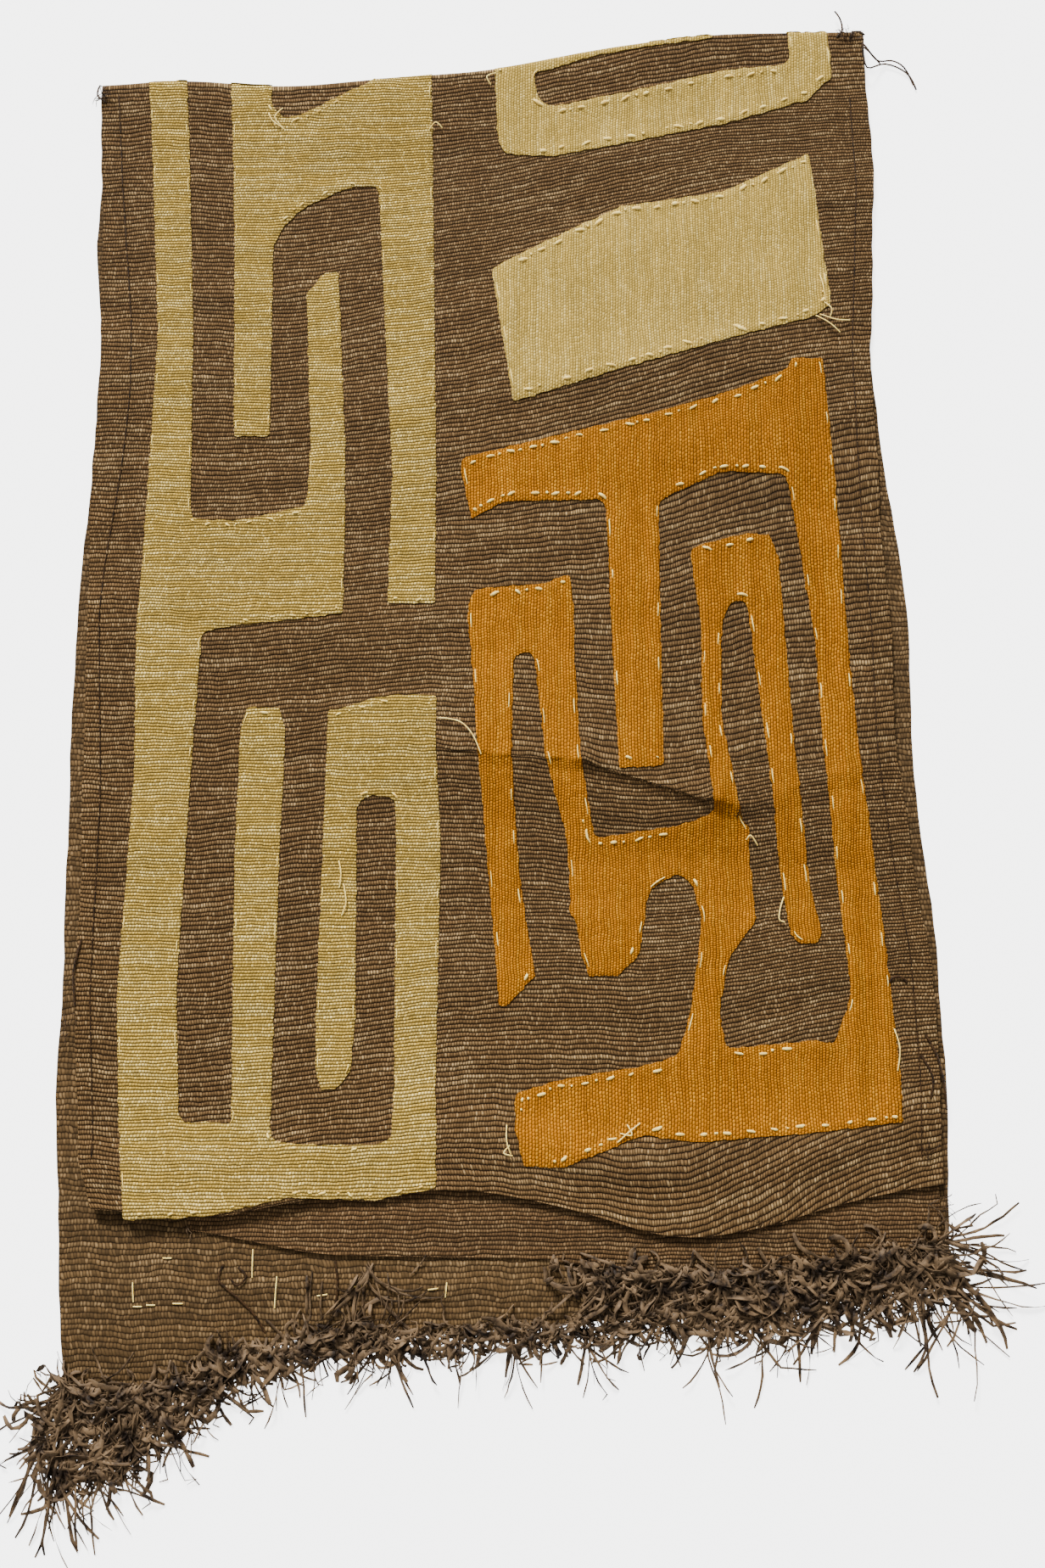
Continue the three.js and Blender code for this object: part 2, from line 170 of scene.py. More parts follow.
# End edges, from the cloth's left side (0) to its right side (1)
FOLD_EDGE = [
    (0, 482), (0.1, 488), (0.24, 481), (0.37, 489), (0.51, 496), (0.65, 514), (0.8, 528), (1, 530),
]
UPPER_HEM = [
    (0, -374), (0.13, -382), (0.27, -366), (0.45, -361), (0.56, -374), (0.68, -396),
    (0.78, -389), (0.88, -371), (1, -357),
]
UNDER_HEM = [
    (0, -493), (0.11, -499), (0.167, -478), (0.25, -461), (0.4, -460), (0.55, -453),
    (0.7, -444), (0.85, -437), (1, -412),
]
STRIP_HEM = [
    (0, -388), (0.18, -406), (0.48, -408), (0.55, -416), (0.74, -422), (0.86, -409), (1, -399),
]

# The end edges are rounded by taking their mean at these shares to either side
END_SOFTEN = (-0.04, -0.02, 0, 0.02, 0.04)

# Creases of the upper layer, each from x0, y0 to x1, y1
Crease = namedtuple("Crease", "x0 y0 x1 y1 bow rise toward_fold toward_hem")
CREASES = [
    Crease(-90, -50, 230, -92, -4, 4.2, 120, 46),
    Crease(-25, -150, 245, -148, 0, -0.9, 14, 14),
    Crease(-285, -376, -160, -370, 0, 3.6, 48, 30),
    Crease(-60, -355, 110, -385, 5, 1.8, 70, 40),
    Crease(140, -330, 290, -300, -6, 1.4, 30, 30),
    Crease(150, 118, 275, 96, 4, 1.6, 34, 26),
    Crease(-40, 300, 270, 400, 10, 1.3, 60, 40),
    Crease(-330, 20, -120, 40, 6, 0.9, 70, 70),
    Crease(-310, -200, -60, -215, 5, 0.8, 60, 60),
    Crease(-310, 250, -90, 230, -6, 0.9, 50, 50),
]

# Sharp creases, which are highest along their line and fall straight away from it
SHARP_CREASES = [
    Crease(-62, -51, 45, -60, -1, 2.4, 80, 9),
    Crease(45, -60, 140, -90, -1, 3.6, 70, 8),
    Crease(140, -90, 155, -94, 0, 2.4, 60, 9),
    Crease(162, -94, 240, -68, 2, 2.0, 60, 12),
    Crease(-30, -151, 235, -150, 0, -1.6, 30, 22),
    Crease(-25, -330, 95, -345, 4, 1.2, 18, 24),
    Crease(60, -352, 230, -335, -6, 1.4, 24, 16),
    Crease(-245, -342, -120, -338, 3, 0.7, 20, 20),
    Crease(120, 140, 262, 124, 6, -1.6, 30, 30),
    Crease(-60, 360, 240, 470, 12, 1.0, 30, 26),
    Crease(-120, 208, 220, 262, 10, 1.0, 30, 30),
    Crease(-40, -225, 120, -190, 8, 1.1, 26, 22),
    Crease(-305, 60, -240, 20, 0, 0.8, 20, 20),
    Crease(160, -230, 245, -215, 6, 1.0, 18, 18),
]

# The cloth above the first three of them hangs over: how far for their height, and where the
# overhang starts and ends along them and beside them
LIP_CREASES = SHARP_CREASES[:3]
LIP_SHARE = 0.95
LIP_OUTSIDE = 6
LIP_INSIDE = 12
LIP_START = (-1.5, 0.8)
LIP_FADE = (1.5, 22)

# Broad places made lighter (more above 0) or darker: broad tone, and painted light and shade where
# noted
PaintedLightAndToneSpot = namedtuple("PaintedLightAndToneSpot", "x y across along more")
PAINTED_LIGHT_AND_TONE_SPOTS = [
    PaintedLightAndToneSpot(-320, -150, 15, 330, 0.15),
    PaintedLightAndToneSpot(210, 60, 130, 340, -0.09),
    PaintedLightAndToneSpot(185, 150, 55, 35, -0.1),
    PaintedLightAndToneSpot(-190, 470, 90, 35, 0.07),
    # These two lighten the strip and the cloth just below the upper layer's hem: painted light on
    # the hem's shadow
    PaintedLightAndToneSpot(30, -405, 240, 34, 0.08),
    PaintedLightAndToneSpot(-180, -392, 120, 16, 0.14),
    # Painted shade below the sharp crease
    PaintedLightAndToneSpot(115, -112, 62, 16, -0.08),
    # Painted light on the shade at the right edge
    PaintedLightAndToneSpot(285, 50, 14, 60, 0.12),
    PaintedLightAndToneSpot(-60, -290, 90, 90, 0.05),
    PaintedLightAndToneSpot(90, -75, 60, 10, 0.06),
]

# The seam of the turned hem at the upper layer's left side: (y, x)
LEFT_HEM = [
    (480, -318), (398, -312), (284, -300), (230, -298), (166, -302), (89, -311), (47, -313),
    (-82, -306), (-231, -306), (-330, -299),
]
RIGHT_HEM_WIDE = 14
SIDE_HEM_RISE = 0.7
SIDE_HEM_SOFT = 1.5

# Soft ripples over the whole cloth: wave length, direction in degrees, height, phase
Ripple = namedtuple("Ripple", "long toward high phase")
RIPPLES = [
    Ripple(83, 80, 0.22, 0.4),
    Ripple(57, 100, 0.16, 2.1),
    Ripple(131, 20, 0.2, 1.3),
    Ripple(39, 64, 0.09, 4.0),
    Ripple(31, 118, 0.07, 5.2),
]

# Slopes of the ribs, up toward the right, between places across the cloth: y, and its slopes
RIB_STARTS = [-150, -60, 60, 150, 290]
RIB_SOFTEN = (-60, -30, 0, 30, 60)
RIB_SLOPES = [
    (-420, (0, 0.04, 0.14, 0.1)),
    (-360, (0, 0.1, 0.22, 0.12)),
    (-290, (0.05, 0.2, 0.18, 0.08)),
    (-220, (0.03, 0.2, 0.12, -0.02)),
    (-150, (0, 0.05, 0.05, -0.03)),
    (-60, (0, -0.03, -0.08, 0)),
    (40, (0, 0.03, 0.05, 0)),
    (130, (0.04, 0.1, 0.12, 0.02)),
    (200, (0.08, 0.18, 0.22, 0.06)),
    (300, (0.15, 0.15, 0.22, 0.06)),
    (400, (0.06, 0.1, 0.2, 0.04)),
    (480, (0, 0.04, 0.08, 0.02)),
]


def upright(*rows):
    """An upright bar, from rows of a distance along the cloth and its left and right edge."""
    return [((left, y), (right, y)) for y, left, right in rows]


def beam(*rows):
    """A beam, from rows of a place across the cloth and its lower and upper edge."""
    return [((x, low), (x, high)) for x, low, high in rows]


CREAM_LEFT = [
    upright(
        (502, -295, -265), (271, -279, -252), (134, -282, -249), (29, -285, -237),
        (-66, -282, -241), (-227, -287, -245), (-315, -282, -240), (-381, -274, -237),
    ),
    beam((-263, 32, 125), (-213, 42, 123), (-133, 51, 141)),
    upright((324, -152, -142), (306, -166, -141), (184, -160, -134), (101, -163, -133)),
    beam(
        (-275, -382, -318), (-214, -379, -316), (-163, -367, -331), (-103, -369, -332),
        (-60, -361, -318),
    ),
    upright((-20, -202, -178), (-37, -206, -173), (-123, -207, -175), (-327, -203, -176)),
    beam((-142, -99, -24), (-107, -84, -13), (-63, -92, -11)),
    upright((-22, -142, -121), (-245, -146, -118), (-282, -145, -121), (-294, -141, -131)),
    upright((-11, -94, -65), (-123, -91, -59), (-291, -90, -61), (-361, -92, -60)),
]
CREAM_MIDDLE = [
    upright((502, -230, -198), (349, -223, -193), (190, -218, -191)),
    beam(
        (-209, 320, 435), (-198, 334, 464), (-186, 362, 452), (-169, 379, 458), (-138, 394, 475),
        (-118, 398, 485), (-72, 377, 502),
    ),
    upright((502, -118, -72), (310, -107, -68), (163, -98, -65), (59, -100, -65)),
]
CREAM_RING = [
    upright((502, -22, 7), (447, -20, 16), (424, -13, 19)),
    beam(
        (-19, 435, 480), (-13, 424, 480), (23, 422, 464), (89, 435, 478), (159, 450, 495),
        (211, 466, 500), (243, 487, 510),
    ),
    upright((540, 209, 240), (492, 212, 244), (469, 207, 224)),
    beam((-11, 493, 517), (16, 493, 517), (57, 507, 525), (104, 516, 532), (150, 522, 540)),
]
CREAM_BLOCK = [
    beam(
        (-23, 320, 327), (-7, 218, 336), (76, 245, 379), (156, 269, 391), (224, 288, 424),
        (237, 298, 302),
    ),
]
ORANGE_RIGHT = [
    beam(
        (-46, 161, 171), (-38, 125, 175), (-13, 139, 181), (105, 141, 211), (151, 163, 224),
        (200, 160, 243), (227, 134, 254),
    ),
    upright((161, 59, 105), (127, 63, 102), (3, 67, 102), (-63, 70, 102)),
    upright(
        (253, 204, 229), (160, 199, 235), (31, 216, 240), (-48, 218, 244), (-174, 228, 257),
        (-229, 233, 261), (-258, 221, 263), (-315, 219, 265),
    ),
    beam(
        (-5, -321, -296), (1, -346, -295), (28, -347, -287), (84, -325, -278), (120, -330, -268),
        (207, -323, -260), (265, -316, -274),
    ),
    upright(
        (-142, 120, 165), (-175, 128, 163), (-200, 125, 147), (-240, 119, 139), (-265, 111, 143),
        (-286, 104, 149),
    ),
    beam(
        (34, -172, -123), (51, -169, -117), (89, -155, -111), (112, -141, -108), (137, -161, -99),
        (163, -182, -108),
    ),
    beam((-40, 38, 58), (-35, 16, 70), (15, 23, 74), (35, 9, 82), (38, 9, 55)),
    upright((55, -40, -6), (-58, -32, -8), (-147, -24, -2), (-215, -18, 9), (-236, -17, -11)),
    upright((42, 6, 37), (-58, 17, 42), (-117, 32, 52), (-148, 34, 57)),
    upright((-117, 32, 93), (-162, 36, 89), (-200, 42, 83), (-215, 47, 68)),
    beam((126, 88, 101), (131, 51, 104), (167, 64, 113), (184, 48, 112), (191, 38, 94)),
    upright(
        (74, 130, 158), (42, 132, 147), (-29, 131, 145), (-82, 137, 154), (-128, 141, 162),
        (-174, 142, 167), (-200, 144, 149),
    ),
    upright((74, 165, 192), (-58, 178, 198), (-151, 186, 206), (-185, 191, 214), (-192, 197, 209)),
]

# How a kind of patch is sewn on: its slot, its weave, whether its ribs run along the cloth, and
# its stitches' length, gap, distance from the rim and width
Sewing = namedtuple("Sewing", "slot look ribs_along stitch_long stitch_gap inset stitch_wide")
CREAM = Sewing("cream_raffia", "cream", False, 5, 12, 3.4, 0.75)
PALE = Sewing("pale_raffia", "pale", True, 7.5, 9, 5, 1.25)
ORANGE = Sewing("orange_raffia", "orange", True, 6.5, 9, 5, 1)
Patch = namedtuple("Patch", "name bars sewing")
PATCHES = [
    Patch("cream_left", CREAM_LEFT, CREAM),
    Patch("cream_middle", CREAM_MIDDLE, CREAM),
    Patch("cream_ring", CREAM_RING, PALE),
    Patch("cream_block", CREAM_BLOCK, PALE),
    Patch("orange", ORANGE_RIGHT, ORANGE),
]

# Fringe strands across a hem: length, lean in degrees from straight down toward +X, how
# tangled, how many, and how far past the hem their roots reach
Lock = namedtuple("Lock", "share long lean curl crowd deep")
UNDER_FRINGE = [
    Lock(0, 50, -30, 1, 4.4, 36), Lock(0.025, 58, -20, 1, 6.2, 48),
    Lock(0.05, 58, -12, 1, 6.6, 52), Lock(0.085, 54, -4, 1, 5.4, 42),
    Lock(0.13, 50, 4, 1, 2.9, 18), Lock(0.25, 42, 0, 1.1, 1.6, 4), Lock(0.31, 42, 0, 1.1, 1.5, 2),
    Lock(0.35, 46, 0, 1.1, 2.2, 4), Lock(0.4, 38, 0, 1.2, 1.1, 2), Lock(0.5, 38, 0, 1.2, 1.2, 2),
    Lock(0.72, 46, 2, 1.1, 1.3, 6), Lock(0.88, 50, 4, 1, 1.3, 8), Lock(0.94, 58, 14, 1, 1.6, 12),
    Lock(0.97, 62, 26, 0.9, 1.5, 14), Lock(1, 60, 40, 0.8, 1.2, 12),
]
UPPER_FRINGE = [
    Lock(0, 16, -8, 1, 0.003, 0), Lock(0.47, 30, 0, 1.2, 0.003, 4), Lock(0.53, 46, 0, 1.2, 1, 22),
    Lock(0.58, 48, 0, 1.2, 1.4, 24), Lock(0.74, 50, 3, 1.1, 1.4, 18), Lock(0.9, 52, 8, 1, 1.5, 18),
    Lock(0.96, 60, 24, 0.9, 1.6, 14), Lock(1, 60, 46, 0.8, 1.3, 10),
]
# The share of the roots that are at the hem itself
HEM_SHARE = 0.4
CROWD_STEPS = 400

# Kinds of strand: how many where the crowd is 1, shortest and longest share of the lock's
# length, spread in radians, shares that kink and loop, half widths, width of the ends, lift,
# points, and how far the roots lie before and past the hem
Kind = namedtuple(
    "Kind", "count short long spread kinks loops thin wide tip lift points before past"
)
TANGLE = Kind(620, 0.3, 0.75, 0.7, 0.22, 0.3, 0.6, 2.3, 0.75, 6, 8, 7, 5)
STREAMERS = Kind(150, 0.5, 1.1, 0.3, 0.14, 0.15, 0.45, 1.3, 0.6, 5, 9, 5, 2)
WISPS = Kind(16, 0.7, 1.3, 0.25, 0.08, 0.25, 0.4, 0.7, 0.5, 4, 9, 5, 0)
TUFT = Kind(1, 0.5, 1.2, 0.8, 0.1, 0, 0.25, 0.5, 0.4, 3, 8, 2.5, 2.5)
FAN = Kind(1, 0.6, 1.1, 0.12, 0.02, 0.02, 0.6, 1.5, 0.6, 5, 9, 3, 4)
STRAND_THICK = 0.16
STRAND_CLEAR = 0.12

# How a strand runs, with turns in radians: the bend at each step, plain and in a loop, the
# lowest lift, the arcs along it, its roll at the root and at each step, how its widths vary,
# and how it wanders and kinks
PLAIN_BEND = 0.08
LOOP_BEND = (0.25, 0.6)
LOWEST_LIFT = 0.2
ARCS = [0.9, 1, 1.6, 2]
ROLL = 0.6
ROLL_STEP = 0.25
THIN_MORE = 1.5
WIDTH_VARIES = (0.75, 1.15)
WANDER = 0.1
KINK_TURN = (0.5, 1.6)
KINK_ROLL = 0.8
WIDEST_LEAN = 1.5

# Heights that the under layer and the strip add below a strand, and where they slope off at the
# layer's sides, its hem and the strip's hem
UNDER_LAYER_HIGH = 1.3
STRIP_HIGH = 1.8
SIDE_SLOPE = (-3, 0)
HEM_SLOPE = (-4, 1)
STRIP_SLOPE = (-8, 1)

# Loose threads and short stitches that lie on the cloth, as points across and along it
CREAM_THREADS = [
    [(-61, -29), (-53, -30), (-44, -33), (-36, -42), (-30, -56)],
    [(161, -118), (164, -115), (169, -122)],
    [(187, -159), (184, -167), (183, -175), (187, -177)],
    [(-8, -338), (-11, -329), (-11, -318)],
    [(-7, -339), (-13, -337), (-9, -332)],
    [(66, -330), (74, -323), (82, -317)],
    [(68, -324), (76, -325), (73, -318)],
    [(228, 289), (240, 284), (251, 284)],
    [(225, 288), (235, 281), (243, 274)],
    [(233, 300), (231, 312), (229, 322)],
    [(-189, 446), (-194, 453), (-188, 461)],
    [(-187, 444), (-196, 450), (-199, 457)],
    [(-73, 444), (-68, 449), (-63, 445)],
    [(-25, 481), (-28, 487), (-21, 491)],
    [(232, 299), (237, 293), (236, 287)],
    [(-132, -133), (-130, -142), (-131, -152)],
    [(-128, -150), (-126, -163), (-129, -172)],
    [(262, -252), (265, -266), (263, -281)],
]
BROWN_THREADS = [
    [(269, 519), (272, 497), (288, 504), (305, 496), (312, 482)],
    [(270, 517), (280, 506), (293, 507), (303, 501), (310, 486)],
    [(269, 515), (276, 509), (284, 504)],
    [(249, 523), (254, 531), (253, 541), (249, 549)],
    [(259, 520), (263, 530), (271, 525)],
    [(-327, 466), (-334, 472), (-332, 483)],
    [(284, -256), (290, -268), (293, -279), (295, -294), (296, -308)],
    [(280, -270), (287, -285), (285, -300)],
    [(259, -221), (263, -216), (269, -216), (273, -220)],
    [(-314, -190), (-318, -212), (-316, -236)],
]
UNDER_CREAM_THREADS = [
    [(-268, -424), (-267, -437)],
    [(-186, -402), (-186, -421)],
    [(-169, -420), (-170, -441)],
    [(-52, -424), (-53, -434)],
    [(-267, -440), (-261, -440)],
    [(-258, -439), (-252, -439)],
    [(-240, -438), (-233, -438)],
    [(-248, -408), (-242, -408)],
    [(-141, -433), (-134, -432)],
    [(-116, -427), (-108, -426)],
    [(-65, -429), (-58, -428)],
]
UNDER_BROWN_THREADS = [
    [(-206, -412), (-209, -422), (-202, -429), (-192, -437), (-183, -446), (-176, -457)],
    [(-196, -414), (-190, -420), (-196, -426), (-201, -421)],
    [(-129, -410), (-127, -428), (-130, -447)],
]

# Places where the cloth frays: across, along, direction in degrees from down toward +X, count
# and length
Fray = namedtuple("Fray", "x y toward count long")
FRAYS = [
    Fray(-326, 470, 250, 12, 13),
    Fray(258, 520, 160, 14, 15),
    Fray(164, -388, 150, 10, 10),
    Fray(155, -100, 140, 8, 7),
    Fray(283, -338, 200, 10, 9),
    Fray(-318, -250, 270, 6, 9),
    Fray(287, -372, 100, 8, 12),
]
TUFT_SEED = 3
# Long strands that spread from one place of a fringe
FAN_SEEDS = 40
UNDER_FANS = [
    Fray(-325, -522, -2, 10, 72), Fray(-313, -530, 1, 11, 76), Fray(-300, -532, 2, 8, 68),
    Fray(-284, -528, 8, 8, 58), Fray(-262, -505, 14, 6, 56), Fray(-236, -480, 6, 5, 64),
    Fray(-160, -462, -4, 4, 60), Fray(-92, -458, 8, 4, 52), Fray(-10, -455, 6, 4, 56),
    Fray(40, -455, 10, 5, 52), Fray(130, -450, 2, 5, 56), Fray(160, -450, 12, 4, 72),
    Fray(268, -420, 14, 8, 80), Fray(284, -412, 40, 6, 84), Fray(292, -420, 56, 5, 70),
    Fray(-330, -500, -75, 4, 22), Fray(-150, -458, 165, 5, 26), Fray(-118, -456, 178, 7, 32),
    Fray(-95, -456, 150, 5, 30), Fray(-205, -478, 160, 5, 22),
]
UPPER_FANS = [
    Fray(-109, -416, -30, 5, 48), Fray(-107, -416, 36, 6, 58), Fray(-142, -418, -4, 2, 34),
    Fray(284, -404, 54, 9, 80), Fray(290, -400, 76, 5, 66), Fray(287, -398, 100, 4, 50),
    Fray(278, -410, 26, 9, 72), Fray(288, -392, 138, 2, 38),
]
# Stitches of the side hems
HEM_STITCH = 9
HEM_STITCH_STEP = 11
HEM_STITCHES_FROM = -340
HEM_STITCHES_TO = 470

# Loose threads: how far they lie above the cloth and the patches, how high they arch, their
# thickness, and the half widths of the cream, brown and seam threads
THREAD_HIGH = 0.4
FLOOR_THREAD_HIGH = 1
PATCH_THREAD_HIGH = 1
BESIDE_CLOTH = (0.5, 0.53)
CREAM_ARCH = 1.6
UNDER_CREAM_ARCH = 0.5
BROWN_ARCH = 1
THREAD_THICK = 0.22
CREAM_HALF = 0.5
BROWN_HALF = 0.75
SEAM_HALF = 0.45
LINE_STEPS = 4

# The stage, in metres, and the camera's sensor in millimetres
FLOOR_HALF = 6
WINDOW_PLACE = (-0.28, 1, 0.6)
CAMERA_PLACE = (0, -0.2665, 1.0803)
CAMERA_AIM = (0, -0.076, 0)
SENSOR_WIDE = 36


def column(table, name):
    """One named column of a table, as an array."""
    return np.array([getattr(row, name) for row in table], float)


def edge_at(y, name):
    """A side edge's place across the cloth, at a distance along it."""
    return np.interp(y, column(EDGES, "y"), column(EDGES, name))


def end_at(table, share):
    """An end edge's distance along the cloth, at a share of the way across it."""
    shares, places = zip(*table)
    return sum(np.interp(share + aside, shares, places) for aside in END_SOFTEN) / len(END_SOFTEN)


def share_across(x, y, layer="upper"):
    """How far a point is from a layer's left side (0) to its right side (1), and past them."""
    left = edge_at(y, f"{layer}_left")
    return (x - left) / (edge_at(y, f"{layer}_right") - left)


def place_across(side, y, layer):
    """The place across the cloth at a share of the way from a layer's left side."""
    left = edge_at(y, f"{layer}_left")
    return left + (edge_at(y, f"{layer}_right") - left) * side


def fold_start(side):
    """Where the upper layer ends and the turn starts, at a share of the way across it."""
    return end_at(FOLD_EDGE, np.clip(side, 0, 1)) - TURN_RADIUS


def smoothstep(value, low, high):
    """0 below low, 1 above high, and a smooth rise between them."""
    share = np.clip((value - low) / (high - low), 0, 1)
    return share * share * (3 - 2 * share)


def walk_crease(crease, x, y):
    """How far a point is along a crease and beside it, and the crease's length."""
    long = math.hypot(crease.x1 - crease.x0, crease.y1 - crease.y0)
    along_x = (crease.x1 - crease.x0) / long
    along_y = (crease.y1 - crease.y0) / long
    walked = (x - crease.x0) * along_x + (y - crease.y0) * along_y
    beside = (y - crease.y0) * along_x - (x - crease.x0) * along_y
    return walked, beside, long


def beside_bow(crease, x, y):
    """How far a point is beside a bowed crease, and the crease's width and height there."""
    walked, beside, long = walk_crease(crease, x, y)
    share = np.clip(walked / long, 0, 1)
    beside = beside - crease.bow * 4 * share * (1 - share)
    wide = np.where(beside > 0, crease.toward_fold, crease.toward_hem)
    past = (walked - share * long) / crease.toward_hem
    rise = crease.rise * np.exp(-CREASE_END_FALL * past**2)
    return beside, wide, rise


def crease_height(crease, x, y):
    """The height that one soft crease adds at a point."""
    beside, wide, rise = beside_bow(crease, x, y)
    return rise * np.exp(-CREASE_FALL * (beside / wide) ** 2)


def sharp_height(crease, x, y):
    """The height that one sharp crease adds at a point."""
    beside, wide, rise = beside_bow(crease, x, y)
    return rise * np.clip(1 - np.hypot(beside, SHARP_ROUND) / wide, 0, 1)


def crease_lip(x, y):
    """How far the cloth above the sharpest crease hangs over toward the hem."""
    down = 0
    for crease in LIP_CREASES:
        walked, beside, long = walk_crease(crease, x, y)
        within = smoothstep(walked, -LIP_OUTSIDE, LIP_INSIDE)
        within = within * (1 - smoothstep(walked, long - LIP_INSIDE, long + LIP_OUTSIDE))
        near = smoothstep(beside, *LIP_START) * (1 - smoothstep(beside, *LIP_FADE))
        down = np.maximum(down, crease.rise * LIP_SHARE * within * near)
    return down


def painted_light_and_tone_at(x, y):
    """How much lighter or darker the cloth's colour is at a place: broad tone, and painted light
    and shade.
    """
    return 1 + sum(
        spot.more * np.exp(-(((x - spot.x) / spot.across) ** 2) - ((y - spot.y) / spot.along) ** 2)
        for spot in PAINTED_LIGHT_AND_TONE_SPOTS
    )


def ripple_height(x, y):
    """Soft unevenness of the cloth."""
    total = 0
    for ripple in RIPPLES:
        toward = math.radians(ripple.toward)
        walked = x * math.cos(toward) + y * math.sin(toward)
        total = total + ripple.high * np.sin(walked * math.tau / ripple.long + ripple.phase)
    return total


def left_hem_at(y):
    """Where the seam of the turned hem at the left side is, at a distance along the cloth."""
    return np.interp(y, *zip(*sorted(LEFT_HEM)))


def right_hem_at(y):
    """Where the seam of the turned hem at the right side is."""
    return edge_at(y, "upper_right") - RIGHT_HEM_WIDE


def side_hem(x, y):
    """1 on the turned hems at the upper layer's sides, and 0 between them."""
    soft = (-SIDE_HEM_SOFT, SIDE_HEM_SOFT)
    return smoothstep(left_hem_at(y) - x, *soft) + smoothstep(x - right_hem_at(y), *soft)


def upper_top(x, y):
    """The top of the upper layer, and of the turn past its fold."""
    side = np.clip(share_across(x, y), 0, 1)
    from_fold = fold_start(side) - y
    near_fold = np.exp(-((np.maximum(from_fold, 0) / TURN_REACH) ** 2))
    near_hem = 1 - smoothstep(y - end_at(UPPER_HEM, side), HEM_FULL, HEM_FROM)
    creased = sum(crease_height(crease, x, y) for crease in CREASES)
    creased = creased + sum(sharp_height(crease, x, y) for crease in SHARP_CREASES)
    creased = creased + ripple_height(x, y) + SIDE_HEM_RISE * side_hem(x, y)
    free = UPPER_REST + HEM_RISE * near_hem + creased * (1 - near_fold)
    turn = TURN_HEIGHT - CLOTH_THICK - UPPER_REST
    flat = np.maximum(UPPER_LOWEST, free + turn * near_fold) + CLOTH_THICK
    past = np.minimum(from_fold, 0)
    over = TURN_RADIUS + np.sqrt(np.maximum(TURN_RADIUS**2 - past**2, 0))
    return np.where(from_fold >= 0, flat, over)


def sheet_mesh(name, built):
    """A mesh with sharp edges round its rim, so that the rim's shade stays off the sheet."""
    for edge in built.edges:
        edge.smooth = not edge.is_boundary
    mesh = bpy.data.meshes.new(name)
    built.to_mesh(mesh)
    built.free()
    return mesh


def grid_mesh(name, columns, rows, shape):
    """A grid with its points and their flat places given by shape(side, share)."""
    built = bmesh.new()
    bmesh.ops.create_grid(built, x_segments=columns, y_segments=rows, size=0.5)
    mesh = sheet_mesh(name, built)
    places = np.empty(len(mesh.vertices) * 3, np.float32)
    mesh.vertices.foreach_get("co", places)
    side, share = places.reshape(-1, 3)[:, :2].T + 0.5
    points, flat = shape(side, share)
    mesh.vertices.foreach_set("co", (points * MM).astype(np.float32).ravel())
    map_weave(mesh, flat, points)
    mesh.update()
    return mesh


def map_weave(mesh, flat, points):
    """Gives a mesh its weave's UV map, in metres, and its broad tone with painted light and shade.
    """
    corners = np.empty(len(mesh.loops), np.int32)
    mesh.loops.foreach_get("vertex_index", corners)
    uv = mesh.uv_layers.new(name="weave")
    uv.data.foreach_set("uv", (flat * MM)[corners].astype(np.float32).ravel())
    dye = mesh.attributes.new("dye", "FLOAT", "POINT")
    dye.data.foreach_set("value", painted_light_and_tone_at(points[:, 0], points[:, 1]).astype(np.float32))


def add_piece(name, data, *materials):
    """Links a new object with its materials, in the part's own frame."""
    piece = bpy.data.objects.new(name, data)
    bpy.context.scene.collection.objects.link(piece)
    for material in materials:
        data.materials.append(material)
    if isinstance(data, bpy.types.Mesh):
        data.polygons.foreach_set("use_smooth", [True] * len(data.polygons))
    return piece


def settle(piece, node=None):
    """Says where a piece belongs: its body and the CAD node that it replaces."""
    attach(piece, "root")
    if node:
        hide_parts(node)


def thicken(piece, thick):
    """Gives a sheet its thickness in metres, on the inner side of its face."""
    solidify = piece.modifiers.new("thickness", "SOLIDIFY")
    solidify.thickness = thick
    solidify.offset = -1
    solidify.use_rim = True


def rib_shift(x, y):
    """How far the ribs are drawn up at a place, because they slope toward the right."""
    heights, slopes = zip(*RIB_SLOPES)
    total = 0
    for start, end, column_slopes in zip(RIB_STARTS, RIB_STARTS[1:], zip(*slopes)):
        slope = np.interp(y, heights, column_slopes)
        for aside in RIB_SOFTEN:
            part = np.clip(x + aside - start, 0, end - start) / len(RIB_SOFTEN)
            total = total + slope * part
    return total


def edge_wave(y, phase):
    """A side edge's small unevenness."""
    return sum(high * np.sin(y / long + turn * phase) for high, long, turn in EDGE_WAVES)


